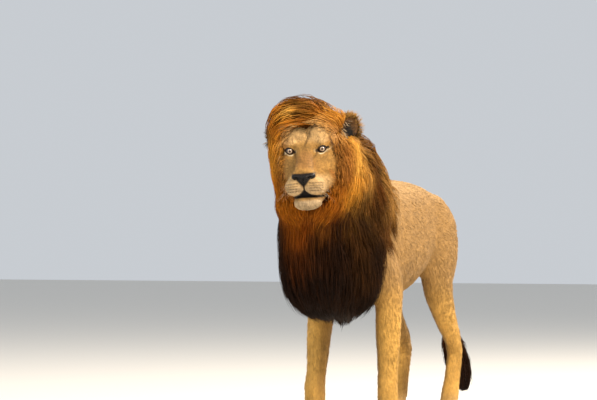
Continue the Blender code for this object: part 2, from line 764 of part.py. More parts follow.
def mane_pieces(parts, tools, mane, body, head, gold, dark):
    """The mane round the neck, hollowed by the flesh and the ears, and parted in five."""
    bm = bmesh.new()
    front = block("front_box", (-1, -2, 0.45), (1, 0.30, 2), tools)
    bm.from_mesh(hidden(piece("front", body, tools, gold, keep=[front])).data)
    bm.from_mesh(head.data)
    for side in ("left", "right"):
        for centre, radii in ear_balls(side):
            ball(bm, centre, [r + SWELL for r in radii], frame=ear_place(side))
    flesh = hidden(fuse("flesh", bm, tools, 0.007, 0))
    bm = bmesh.new()
    bm.from_mesh(swollen(flesh, tools, SWELL).data)
    hollow = hidden(fuse("hollow", bm, tools, 0.007, 1, TRIANGLES["hollow"]))
    shell = hidden(piece("mane_shell", mane, tools, gold, remove=[hollow], solver="MANIFOLD"))
    half = GAP / 2
    crest = dict(turn=(20, 0, 0), about=(0, -0.45, 1.235))
    crown = block("crown_box", (-1, -1, 1.235 + half), (1, 1.0, 2), tools, **crest)
    under = block("under_crown", (-1, -1, 0), (1, 1.0, 1.235 - half), tools, **crest)
    chest = block("chest_box", (-1, -1, 0), (1, 1, 0.900 - half), tools)
    collar = block("collar_box", (-1, -1, 0.900 + half), (1, 1, 2), tools)
    left = block("left_box", (0.010 + half, -1, 0), (1, 1, 2), tools)
    right = block("right_box", (-1, -1, 0), (0.010 - half, 1, 2), tools)
    for name, finish, keep in (
        ("mane_crown", gold, [crown]),
        ("mane_left", gold, [under, collar, left]),
        ("mane_right", gold, [under, collar, right]),
        ("mane_chest_left", dark, [chest, left]),
        ("mane_chest_right", dark, [chest, right]),
    ):
        # the exact solver loses this shell, whose edges run out very thin
        piece(name, shell, parts, finish, keep=keep, solver="MANIFOLD")


def centre(parts):
    """Moves every piece so that the origin is under the middle of the animal, on the floor."""
    corners = [
        obj.matrix_world @ Vector(corner) for obj in parts.objects for corner in obj.bound_box
    ]
    low = [min(c[i] for c in corners) for i in range(3)]
    high = [max(c[i] for c in corners) for i in range(3)]
    shift = Vector((-(low[0] + high[0]) / 2, -(low[1] + high[1]) / 2, -low[2]))
    for obj in parts.objects:
        obj.data.transform(Matrix.Translation(shift))


if __name__ == "__main__":
    build()
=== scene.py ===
import math

import bpy
import numpy as np
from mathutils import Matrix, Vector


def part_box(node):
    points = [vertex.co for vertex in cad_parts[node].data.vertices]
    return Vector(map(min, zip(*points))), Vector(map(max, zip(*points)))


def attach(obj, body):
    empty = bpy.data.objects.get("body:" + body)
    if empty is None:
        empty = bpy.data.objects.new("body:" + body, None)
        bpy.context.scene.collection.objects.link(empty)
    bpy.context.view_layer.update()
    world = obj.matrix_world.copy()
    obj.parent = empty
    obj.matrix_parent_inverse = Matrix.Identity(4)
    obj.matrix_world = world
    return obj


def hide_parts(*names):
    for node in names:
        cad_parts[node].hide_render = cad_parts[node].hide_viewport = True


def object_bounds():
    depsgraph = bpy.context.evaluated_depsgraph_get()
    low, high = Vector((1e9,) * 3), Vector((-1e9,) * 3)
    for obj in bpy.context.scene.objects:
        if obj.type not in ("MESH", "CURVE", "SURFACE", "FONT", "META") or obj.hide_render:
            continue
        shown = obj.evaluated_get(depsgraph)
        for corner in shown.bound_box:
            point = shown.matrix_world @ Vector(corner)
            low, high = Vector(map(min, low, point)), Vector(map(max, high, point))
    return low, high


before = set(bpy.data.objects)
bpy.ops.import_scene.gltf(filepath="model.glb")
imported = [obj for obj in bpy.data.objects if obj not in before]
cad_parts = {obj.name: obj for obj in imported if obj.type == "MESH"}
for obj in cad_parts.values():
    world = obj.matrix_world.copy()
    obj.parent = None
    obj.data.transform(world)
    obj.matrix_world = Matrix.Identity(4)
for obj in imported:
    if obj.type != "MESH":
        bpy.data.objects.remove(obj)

import openvdb
from mathutils import Vector

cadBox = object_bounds()  # the solids' own box, before anything is added

view = {
    "azimuth": 23.0,  # degrees from straight ahead, toward the lion's left
    "distance": 14.0,
    "height": 0.93,
    "widthAtLion": 2.467,  # metres across the frame at the eyes
    "eyeAt": (0.5129, 0.3755),  # where the middle of the eyes is, as a share of the frame
    "sensor": 36.0,
    "aspect": 400 / 597,  # the frame's height over its width
}


def eyeMidpoint():
    corners = [corner for name in ("eye_left", "eye_right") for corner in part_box(name)]
    return sum(corners, Vector()) / len(corners)


# a level camera, shifted so that the eyes come where they belong in the frame
def placeCamera():
    turn = math.radians(view["azimuth"])
    across = Vector((math.cos(turn), math.sin(turn), 0))
    back = Vector((math.sin(turn), -math.cos(turn), 0))
    anchor = eyeMidpoint()
    sideways = (0.5 - view["eyeAt"][0]) * view["widthAtLion"]
    aim = anchor + across * sideways
    location = aim + back * view["distance"]
    location.z = view["height"]
    camera = bpy.data.cameras.new("camera")
    camera.sensor_width = view["sensor"]
    camera.lens = view["sensor"] * view["distance"] / view["widthAtLion"]
    rise = (anchor.z - view["height"]) / view["widthAtLion"]
    camera.shift_y = rise - (0.5 - view["eyeAt"][1]) * view["aspect"]
    holder = bpy.data.objects.new("camera", camera)
    bpy.context.scene.collection.objects.link(holder)
    holder.location = location
    holder.rotation_euler = (math.pi / 2, 0, turn)
    bpy.context.scene.camera = holder


placeCamera()
print("camera placed")


# sRGB hex to the linear values that shaders take
def linear(hexColour, alpha=1.0):
    parts = np.array([int(hexColour[i : i + 2], 16) for i in (1, 3, 5)]) / 255
    low, high = parts / 12.92, ((parts + 0.055) / 1.055) ** 2.4
    return (*np.where(parts <= 0.04045, low, high).tolist(), alpha)


def rgb(hexColour):
    return np.array(linear(hexColour)[:3])


# one colour for each of many points
def plain(hexColour, count):
    return np.tile(rgb(hexColour), (count, 1))


# gives a node's inputs their values and their links
def feed(tree, node, inputs):
    for key, value in inputs.items():
        if isinstance(value, bpy.types.NodeSocket):
            tree.links.new(value, node.inputs[key])
        else:
            node.inputs[key].default_value = value


# adds one node, with its settings and what feeds it
def addNode(tree, kind, inputs=None, **settings):
    node = tree.nodes.new("ShaderNode" + kind)
    for name, value in settings.items():
        setattr(node, name, value)
    feed(tree, node, inputs or {})
    return node


def blankMaterial(name):
    material = bpy.data.materials.new(name)
    material.use_nodes = True
    tree = material.node_tree
    tree.nodes.clear()
    shader = addNode(tree, "BsdfPrincipled")
    addNode(tree, "OutputMaterial", {"Surface": shader.outputs[0]})
    return material, tree, shader


# a mesh object from an array of points and arrays of faces, each array with one count of corners;
# colours are one linear colour for each point, patches one UV place for each face corner, and
# normals what each point is shaded with, so that a tuft takes the light as the coat round it does
def makeMesh(name, points, faceSets, material, smooth=True, colours=None, patches=None, normals=None):
    mesh = bpy.data.meshes.new(name)
    points = np.asarray(points, np.float32)
    corners = np.concatenate([np.asarray(faces, np.int32).ravel() for faces in faceSets])
    sizes = np.concatenate([np.full(len(faces), faces.shape[1], np.int32) for faces in faceSets])
    mesh.vertices.add(len(points))
    mesh.vertices.foreach_set("co", points.ravel())
    mesh.loops.add(len(corners))
    mesh.loops.foreach_set("vertex_index", corners)
    mesh.polygons.add(len(sizes))
    starts = np.concatenate(([0], np.cumsum(sizes)[:-1])).astype(np.int32)
    mesh.polygons.foreach_set("loop_start", starts)
    mesh.update(calc_edges=True)
    if smooth:
        mesh.shade_smooth()
    if normals is not None:
        mesh.normals_split_custom_set_from_vertices(normals)
    if colours is not None:
        layer = mesh.attributes.new("furTint", "FLOAT_COLOR", "POINT")
        withAlpha = np.concatenate([colours, np.ones((len(colours), 1))], axis=1)
        layer.data.foreach_set("color", withAlpha.astype(np.float32).ravel())
    if patches is not None:
        layer = mesh.uv_layers.new(name="OFBake")
        layer.uv.foreach_set("vector", np.asarray(patches, np.float32).ravel())
    mesh.materials.append(material)
    piece = bpy.data.objects.new(name, mesh)
    bpy.context.scene.collection.objects.link(piece)
    return piece


studio = {
    "floor": "#d9d6d0",
    "floorSize": 60.0,
    "background": "#e3e8ee",
    "backgroundStrength": 0.75,
    # name: azimuth, elevation, distance, size, watts, colour
    "lights": {
        "key": (64, 44, 9.0, 2.6, 1150, "#fff0da"),
        "rim": (150, 42, 9.0, 2.5, 900, "#fff0dc"),
        "fill": (-36, 36, 10.0, 6.0, 370, "#f3f0ea"),
    },
}


def buildStudio():
    size = studio["floorSize"] / 2
    corners = np.array([(-size, -size, 0), (size, -size, 0), (size, size, 0), (-size, size, 0)])
    material, tree, shader = blankMaterial("paleFloorPaint")  # flat matt paint
    feed(tree, shader, {"Base Color": linear(studio["floor"]), "Roughness": 0.8})
    floor = makeMesh("studioFloor", corners, [np.array([(0, 1, 2, 3)])], material, False)
    world = bpy.data.worlds.new("studioWorld")
    world.use_nodes = True
    sky = {"Color": linear(studio["background"]), "Strength": studio["backgroundStrength"]}
    feed(world.node_tree, world.node_tree.nodes["Background"], sky)
    bpy.context.scene.world = world
    bpy.context.scene.view_settings.view_transform = "Standard"  # hair keeps its depth of colour
    for name, (azimuth, elevation, far, width, watts, colour) in studio["lights"].items():
        lamp = bpy.data.lights.new(name, "AREA")
        lamp.size = width
        lamp.energy = watts
        lamp.color = linear(colour)[:3]
        light = bpy.data.objects.new(name, lamp)
        bpy.context.scene.collection.objects.link(light)
        turn, lift = math.radians(azimuth), math.radians(elevation)
        level = math.cos(lift)
        away = Vector((math.sin(turn) * level, -math.cos(turn) * level, math.sin(lift)))
        light.location = Vector((0, -0.4, 0.9)) + away * far
        light.rotation_mode = "QUATERNION"
        light.rotation_quaternion = (-away).to_track_quat("-Z", "Y")


buildStudio()
print("studio built")

# The head's own frame: origin midway between the eyes, the lion faces -Y, its left is +X.
headTurn = {"yaw": 15.5, "pitch": 2.0, "roll": -4.0}
designEyes = np.array((0.030, -0.600, 1.200))  # where the solids were drawn before they were centred


def turnAbout(axis, degrees):
    c, s = math.cos(math.radians(degrees)), math.sin(math.radians(degrees))
    return {
        "X": np.array([[1, 0, 0], [0, c, -s], [0, s, c]]),
        "Y": np.array([[c, 0, s], [0, 1, 0], [-s, 0, c]]),
        "Z": np.array([[c, -s, 0], [s, c, 0], [0, 0, 1]]),
    }[axis]


eyes = np.array(eyeMidpoint())
headAxes = turnAbout("Z", headTurn["yaw"]) @ turnAbout("X", headTurn["pitch"])
headAxes = headAxes @ turnAbout("Y", headTurn["roll"])
drawn = eyes - designEyes  # adds to a place in the drawing's frame to give the built one


def toHead(points):
    return (np.asarray(points) - eyes) @ headAxes


def fromHead(points):
    return np.asarray(points) @ headAxes.T + eyes


def unit(vectors):
    return vectors / np.maximum(np.linalg.norm(vectors, axis=-1, keepdims=True), 1e-9)


# 0 below low, 1 above high, and a smooth rise between; fade is its opposite
def ease(values, low, high):
    t = np.clip((values - low) / (high - low), 0, 1)
    return t * t * (3 - 2 * t)


def fade(values, low, high):
    return 1 - ease(values, low, high)


# joins coordinates, or single numbers, as the last axis of one array
def columns(*parts):
    return np.stack(np.broadcast_arrays(*parts), axis=-1)


# the larger and the smaller of two fields, rounded where they meet
def smoothMax(a, b, soft):
    h = np.clip(0.5 + 0.5 * (a - b) / soft, 0, 1)
    return b + (a - b) * h + soft * h * (1 - h)


def smoothMin(a, b, soft):
    return -smoothMax(-a, -b, soft)


# takes one form away from another
def carve(form, cutter, soft):
    return smoothMax(form, -cutter, soft)


# all the points and triangles of some CAD nodes
def nodeArrays(names):
    points, triangles, count = [], [], 0
    for name in names:
        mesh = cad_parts[name].data
        place = np.empty(len(mesh.vertices) * 3, np.float32)
        mesh.vertices.foreach_get("co", place)
        mesh.calc_loop_triangles()
        corners = np.empty(len(mesh.loop_triangles) * 3, np.int32)
        mesh.loop_triangles.foreach_get("vertices", corners)
        points.append(place.reshape(-1, 3))
        triangles.append(corners.reshape(-1, 3) + count)
        count += len(mesh.vertices)
    return np.concatenate(points), np.concatenate(triangles)


# A field is a box of signed distances, negative inside: values, low corner, spacing.
def distanceField(points, triangles, low, high, spacing, reach):
    low = np.array(low, np.float32)
    size = tuple((np.ceil((np.array(high) - low) / spacing).astype(int) + 1).tolist())
    grid = openvdb.FloatGrid.createLevelSetFromPolygons(
        (points - low).astype(np.float32),
        triangles=triangles.astype(np.uint32),
        transform=openvdb.createLinearTransform(spacing),
        halfWidth=reach / spacing,
    )
    values = np.empty(size, np.float32)
    grid.copyToArray(values)
    return values, low, spacing


# the surface where a field has one value, as points and quads, or with flat places merged
def surfaceOf(field, level=0.0, merge=0.0):
    values, low, spacing = field
    grid = openvdb.FloatGrid(float(values.max()))
    grid.transform = openvdb.createLinearTransform(spacing)
    grid.copyFromArray(values)
    if merge:
        points, triangles, quads = grid.convertToPolygons(isovalue=level, adaptivity=merge)
        return points + low, [triangles, quads]
    points, quads = grid.convertToQuads(isovalue=level)
    return points + low, [quads]


def asTriangles(faceSets):
    parts = []
    for faces in faceSets:
        parts.append(faces[:, :3])
        if faces.shape[1] == 4:
            parts.append(faces[:, [0, 2, 3]])
    return np.concatenate(parts)


# blurs a field with a Gaussian of that width, one axis at a time
def blurred(field, width):
    values, low, spacing = field
    sigma = width / spacing
    reach = int(math.ceil(2.5 * sigma))
    weights = np.exp(-0.5 * (np.arange(-reach, reach + 1) / sigma) ** 2)
    weights = (weights / weights.sum()).astype(np.float32)
    for axis in range(3):
        around = [(0, 0)] * 3
        around[axis] = (reach, reach)
        padded = np.pad(values, around, mode="edge")
        total = np.zeros_like(values)
        for i, weight in enumerate(weights):
            window = [slice(None)] * 3
            window[axis] = slice(i, i + values.shape[axis])
            total += weight * padded[tuple(window)]
        values = total
    return values, low, spacing


# closes the thin cuts between solids and rounds their facets: out a little, and back as one form
def closedField(names, low, high, spacing, reach, soften, local=None):
    halfCut = 0.0015
    points, triangles = nodeArrays(names)
    if local:
        points = local(points)
    first = distanceField(points, triangles, low, high, spacing, reach)
    shellPoints, shellFaces = surfaceOf(first, halfCut)
    whole = distanceField(shellPoints, asTriangles(shellFaces), low, high, spacing, reach)
    values, low, spacing = blurred(whole, soften)
    return values + halfCut, low, spacing


# the field's value at points, mixed from the eight places round each
def fieldAt(field, points):
    values, low, spacing = field
    place = np.clip((points - low) / spacing, 0, np.array(values.shape) - 1.001)
    base = place.astype(np.int32)
    x, y, z = base.T
    fx, fy, fz = (place - base).T
    total = 0
    for i, wx in ((0, 1 - fx), (1, fx)):
        for j, wy in ((0, 1 - fy), (1, fy)):
            for k, wz in ((0, 1 - fz), (1, fz)):
                total = total + wx * wy * wz * values[x + i, y + j, z + k]
    return total


# the way out of the form at points: the field's slope
def outwardAt(field, points):
    steps = np.eye(3) * field[2]
    return unit(columns(*(fieldAt(field, points + s) - fieldAt(field, points - s) for s in steps)))


# the coordinates of every place in a field's box, as three arrays that broadcast
def axesOf(field):
    values, low, spacing = field
    spans = [low[i] + spacing * np.arange(values.shape[i], dtype=np.float32) for i in range(3)]
    return np.meshgrid(*spans, indexing="ij", sparse=True)


# true for the points in a field's box
def inBox(field, points):
    values, low, spacing = field
    return ((points > low) & (points < low + spacing * (np.array(values.shape) - 1))).all(axis=1)


fleshNodes = [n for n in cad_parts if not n.startswith("mane") and n != "tail_tuft"]
maneNodes = [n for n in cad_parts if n.startswith("mane")]

skin = {
    "bodySpacing": 0.0045,
    "bodyDepth": 0.0045,  # the coat's depth on the body
    "bodySoften": 0.009,
    "pawTop": 0.19,  # below this the feet keep their finer shape
    "pawSoften": 0.0028,
    "pawDepth": 0.003,
    "tailFrom": 0.70,  # behind this, too, where only the tail and a hock are
    "headSpacing": 0.0024,
    "headDepth": 0.0035,
    "headSoften": 0.0045,
    "headBack": 0.225,  # the head's mesh ends here, inside the mane
    "buriedIn": 0.045,  # skin this deep in the mane is left off
    "merge": 0.04,  # how freely flat places are drawn with fewer faces
    "headMerge": 0.003,
}
eye = {
    "radius": 0.0205,
    "centre": (0.0678, 0.003, 0.0),  # the left eye's, in the head's frame
    "lid": 0.0026,  # how far the lids stand off the ball
    "halfWidth": 0.0190,
    "above": 0.0100,
    "below": 0.0100,
    "tilt": 0.20,  # rise of the opening from its inner to its outer corner
}


# a straight rod: the distance to the nearest place between its ends, less its radius
def rodField(axes, start, end, radius):
    x, y, z = axes
    start, end = np.array(start), np.array(end)
    along = end - start
    length = float(along @ along)
    t = ((x - start[0]) * along[0] + (y - start[1]) * along[1] + (z - start[2]) * along[2]) / length
    t = np.clip(t, 0, 1)
    gap = (x - start[0] - t * along[0]) ** 2 + (y - start[1] - t * along[1]) ** 2
    return np.sqrt(gap + (z - start[2] - t * along[2]) ** 2) - radius


# about the distance to an ellipsoid: how many radii out, less one, times the smallest radius
def eggField(axes, centre, radii):
    x, y, z = axes
    a, b, c = radii
    k0 = np.sqrt(((x - centre[0]) / a) ** 2 + ((y - centre[1]) / b) ** 2 + ((z - centre[2]) / c) ** 2)
    return (k0 - 1) * min(radii) * np.clip(k0, 0.3, 1.5)


# How far a place is outside the almond of the eye opening: negative inside. Its edges stand off a
# tilted line by a power of one less the square of the share of the half width.
def eyeOpening(across, up):
    share = np.clip(1 - (across / eye["halfWidth"]) ** 2, 0, 1)
    middle = eye["tilt"] * across
    above = up - middle - eye["above"] * share ** 0.8
    under = middle - eye["below"] * share ** 0.75 - up
    return np.maximum(np.maximum(above, under), (np.abs(across) - eye["halfWidth"]) * 0.8)


# the heights of the lips at a distance from the middle: the upper one falls away from its peak as
# an exponential, and the lower one slopes
def lipLines(x):
    a = np.abs(x)
    upper = -0.1600 - 0.033 * (1 - np.exp(-a / 0.022))
    lower = -0.1895 - 0.05 * a
    return upper, np.minimum(lower, upper - 0.0025)


# how far a place is outside the opening of the mouth, seen from the front: negative inside
def mouthEdge(x, z):
    upper, lower = lipLines(x)
    return np.maximum(z - upper, lower - z)


# how far a place is outside the triangle of the bare nose, seen from the front: its half width
# shrinks by 0.9 of the way down
def noseEdge(a, z):
    drop = -0.098 - z
    return np.maximum(a + 0.9 * np.clip(drop, 0, 1) - 0.046, -0.003 - drop)


# beside the nose, because the whiskers' roots are also dark rows in the coat's markings
whisker = {
    "rows": 4,
    "each": 3,  # in a row
    "apart": 0.0115,
    "length": (0.045, 0.080),
    "width": 0.0005,
    "colour": "#cdbc9c",
    "seed": 8,
}


# the height of a row of whiskers on the pad, at a distance from the middle
def whiskerRow(row, a):
    return -0.1325 - 0.0105 * row - 0.05 * (a - 0.02)


# the bridge of the nose: a bar between two places, with a broad flat top from a sum of cubes, and
# waisted in the middle
def bridgeField(axes):
    x, y, z = axes
    start, end = np.array((0.030, 0.033)), np.array((-0.132, -0.098))
    along = end - start
    length = float(np.hypot(*along))
    along = along / length
    t = np.clip(((y - start[0]) * along[0] + (z - start[1]) * along[1]) / length, 0, 1)
    gapY, gapZ = y - start[0] - t * length * along[0], z - start[1] - t * length * along[1]
    half = 0.036 - 0.012 * t * (1 - t) * 4 * 0.5 + 0.004 * t
    deep = 0.026 - 0.006 * t
    off = np.sqrt(gapY**2 + gapZ**2)
    return ((np.abs(x) / half) ** 3 + (off / deep) ** 3) ** (1 / 3) * 0.022 - 0.022


# The face: the solids' own field with lids, sockets, brow, pads, lips and clefts worked in.
def faceField():
    low, high = (-0.215, -0.235, -0.275), (0.215, skin["headBack"] + 0.02, 0.215)
    spacing, soften = skin["headSpacing"], skin["headSoften"]
    field = closedField(fleshNodes, low, high, spacing, 0.022, soften, toHead)
    x, y, z = axes = axesOf(field)
    form = field[0] + skin["headDepth"]
    cx, cy, cz = eye["centre"]
    for side in (-1, 1):
        hollow = eggField(axes, (side * (cx - 0.003), cy - 0.032, cz - 0.001), (0.030, 0.019, 0.019))
        form = carve(form, hollow, 0.010)
        brow = rodField(axes, (side * 0.034, -0.010, 0.020), (side * 0.088, 0.008, 0.026), 0.0075)
        form = smoothMin(form, brow, 0.022)
        pad = eggField(axes, (side * 0.037, -0.124, -0.146), (0.0415, 0.0395, 0.0345))
        form = smoothMin(form, pad, 0.018)
        flare = eggField(axes, (side * 0.030, -0.125, -0.103), (0.022, 0.028, 0.016))
        form = smoothMin(form, flare, 0.012)
    form = smoothMin(form, bridgeField(axes), 0.012)
    form = smoothMin(form, eggField(axes, (0.007, -0.106, -0.213), (0.055, 0.037, 0.026)), 0.012)
    # clefts follow the surface, a few millimetres deep
    surface = form + 0.0055
    cleft = np.maximum(np.abs(x) - 0.0022, np.maximum(z + 0.132, -0.172 - z))
    form = carve(form, np.maximum(cleft, -surface), 0.003)
    split = np.maximum(mouthEdge(x, z), np.maximum(np.abs(x) - 0.078, y + 0.02))
    form = carve(form, np.maximum(split, -(surface + 0.003)), 0.003)
    crease = np.maximum(np.abs(x - 0.003) - 0.0016, np.maximum(0.03 - z, z - 0.12))
    form = carve(form, np.maximum(crease, -(form + 0.0006)), 0.009)
    for side in (-1, 1):
        across = side * x - cx
        ball = np.sqrt(across**2 + (y - cy) ** 2 + (z - cz) ** 2) - eye["radius"] - eye["lid"]
        form = smoothMin(form, ball, 0.0035)
        opening = np.maximum(eyeOpening(across, z - cz), y - cy)
        form = carve(form, np.maximum(opening, ball - 0.03), 0.0014)
        tear = rodField(axes, (side * 0.0490, -0.020, -0.003), (side * 0.038, -0.050, -0.040), 0.0022)
        form = carve(form, tear, 0.004)
    return form, *field[1:]


# The mane's outer shape with the flesh in it, as one field, and the mane's solids by themselves.
def maneField():
    corners = np.array([[tuple(corner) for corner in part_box(name)] for name in maneNodes])
    low, high = corners[:, 0].min(axis=0) - 0.06, corners[:, 1].max(axis=0) + 0.06
    low[1] -= 0.12  # room for the muzzle
    spacing, reach = 0.006, 0.075
    outer = closedField(fleshNodes + maneNodes, low, high, spacing, reach, 0.008)
    return outer, distanceField(*nodeArrays(maneNodes), low, high, spacing, reach)


# The body, with the feet and the tail from fields blurred less.
def bodyField():
    reach = 0.030
    low, high = np.array(cadBox[0]) - reach, np.array(cadBox[1]) + reach
    field = closedField(fleshNodes, low, high, skin["bodySpacing"], reach, skin["bodySoften"])
    values, low, spacing = field
    _, y, z = axesOf(field)
    top = np.array((high[0], high[1], skin["pawTop"] + 0.06))
    feet = closedField(fleshNodes, low, top, spacing, reach, skin["pawSoften"])[0]
    height = low[2] + spacing * np.arange(feet.shape[2])
    share = ease(height, skin["pawTop"] - 0.05, skin["pawTop"]).astype(np.float32)
    values[:, :, : len(height)] = feet + (values[:, :, : len(height)] - feet) * share
    behind = int((skin["tailFrom"] - low[1]) / spacing)
    tailLow = np.array((low[0], low[1] + behind * spacing, low[2]))
    tail = closedField(fleshNodes, tailLow, high, spacing, reach, skin["pawSoften"])[0]
    onTail = ease(y[:, behind:], skin["tailFrom"] + 0.01, skin["tailFrom"] + 0.06).astype(np.float32)
    tail = tail[:, : values.shape[1] - behind, : values.shape[2]]
    values[:, behind:] += (tail - values[:, behind:]) * onTail
    thick = ease(z, 0.08, 0.25) * fade(y, skin["tailFrom"] - 0.03, skin["tailFrom"] + 0.03)
    return values + skin["pawDepth"] + (skin["bodyDepth"] - skin["pawDepth"]) * thick, low, spacing


envelope, hairRoom = maneField()
print("mane field built", envelope[0].shape)
bodyFlesh = bodyField()
print("body field built", bodyFlesh[0].shape)
faceFlesh = faceField()
print("face field built", faceFlesh[0].shape)


coat = {
    "body": "#95713f",
    # painted highlight: the top of the back, paler where the light falls on it
    "back": "#b08c5b",
    # painted shade: the underside and the insides of the legs, darker where shade falls on them
    "paintedUnderShade": "#836130",
    "leg": "#c29448",
    "paw": "#b18c57",
    "tailEnd": "#3a2212",
    "face": "#9a7238",
    # the face's own browner edge by the mane, deepened with painted shade; also painted shade on the cheek
    # of the shaded side
    "cheekEdgeAndShade": "#8f5a24",
    "forehead": "#c09962",
    "bridge": "#865e30",
    "muzzle": "#bf9d6c",
    "chin": "#b69b76",
    "underEye": "#dccaa6",
    "rim": "#0b0706",
    "tear": "#33200f",
    "spot": "#33210f",
    "lip": "#0e0908",
    "earBack": "#17100b",
    "earInside": "#6a4826",
}


# the bare oval of the face, seen from the front
oval = {"middle": -0.062, "left": 0.142, "right": 0.104, "above": 0.184, "below": 0.168}


# how far out a place is, as a share of the way to the oval's edge
def faceOval(local):
    x, z = local[..., 0], local[..., 2]
    wide = np.where(x > 0, oval["left"], oval["right"])
    tall = np.where(z > oval["middle"], oval["above"], oval["below"])
    return np.hypot(x / wide, (z - oval["middle"]) / tall)


# mixes one colour over others where its weight says
def over(colours, hexColour, weight):
    return colours + (rgb(hexColour) - colours) * np.clip(weight, 0, 1)[:, None]


# 1 inside a soft egg, 0 outside it
def spotted(points, centre, radii, soft=0.35):
    reach = np.sqrt((((points - np.array(centre)) / np.array(radii)) ** 2).sum(axis=1))
    return fade(reach, 1 - soft, 1 + soft)


# soft blotches of about one size: crossed waves in several directions, from -1 to 1
def mottle(points, size, seed=3):
    draw = np.random.default_rng(seed)
    total = 0
    for _ in range(7):
        course = unit(draw.normal(0, 1, 3)) * draw.uniform(0.7, 1.5) * 2 * math.pi / size
        bend = unit(draw.normal(0, 1, 3)) * draw.uniform(0.8, 1.4) * math.pi / size
        total = total + np.sin(points @ course + 2.2 * np.sin(points @ bend + draw.uniform(0, 6)))
    return total / 4.5


# the coat's markings: one colour for each place on the skin, and for the fur rooted there
def coatTint(points, outward):
    tint = plainTint(points, outward)
    face = fade(toHead(points)[:, 1], 0.10, 0.20)
    broad = mottle(points, 0.13) * 0.07 + mottle(points, 0.040, 4) * (0.06 + 0.12 * face)
    fine = mottle(points * (1, 1, 1.8), 0.016, 6) * (0.05 + 0.22 * face)
    return tint * (1 + broad + fine)[:, None]


def plainTint(points, outward):
    x, y, z = (points - drawn).T
    inner = -np.sign(x) * outward[:, 0]
    tail = ease(y, 0.98, 1.02) * fade(np.abs(x), 0.09, 0.12)
    tint = plain(coat["body"], len(points))
    for name, weight in (
        # painted highlight along the top of the back
        ("back", ease(outward[:, 2], 0.35, 0.95) * ease(z, 0.80, 1.0) * 0.8),
        # painted shade under the trunk
        ("paintedUnderShade", ease(-outward[:, 2], 0.1, 0.8) * ease(z, 0.45, 0.6)),
        ("leg", fade(z, 0.45, 0.70)),
        # painted shade on the insides of the legs
        ("paintedUnderShade", fade(z, 0.6, 0.8) * ease(inner, 0.2, 0.9) * 0.7),
        ("paw", fade(z, 0.06, 0.16)),
        ("tailEnd", tail * fade(z, 0.36, 0.50)),
    ):
        tint = over(tint, coat[name], weight)
    return faceTint(points, outward, tint)


# soft spots of colour on the face: colour, on both sides or one, centre, radii, softness, strength
faceSpots = [
    ("muzzle", "both", (0.032, 0.010, 0.058), (0.028, 0.06, 0.030), 0.6, 0.35),
    ("bridge", "both", (0, -0.075, -0.055), (0.042, 0.075, 0.055), 0.35, 0.8),
    ("muzzle", "both", (0.066, 0.000, 0.038), (0.028, 0.04, 0.014), 0.35, 0.55),
    ("muzzle", "both", (0.040, -0.020, -0.004), (0.008, 0.03, 0.008), 0.35, 0.7),
    ("muzzle", "both", (0.040, -0.120, -0.146), (0.058, 0.062, 0.045), 0.4, 1.0),
    # painted light: the cheek beside the pad on the lit side is paler
    ("muzzle", "one", (0.078, -0.060, -0.140), (0.034, 0.060, 0.034), 0.5, 0.7),
    # painted shade: the cheek on the shaded side is darker
    ("cheekEdgeAndShade", "one", (-0.092, -0.100, -0.150), (0.020, 0.060, 0.060), 0.5, 0.7),
]


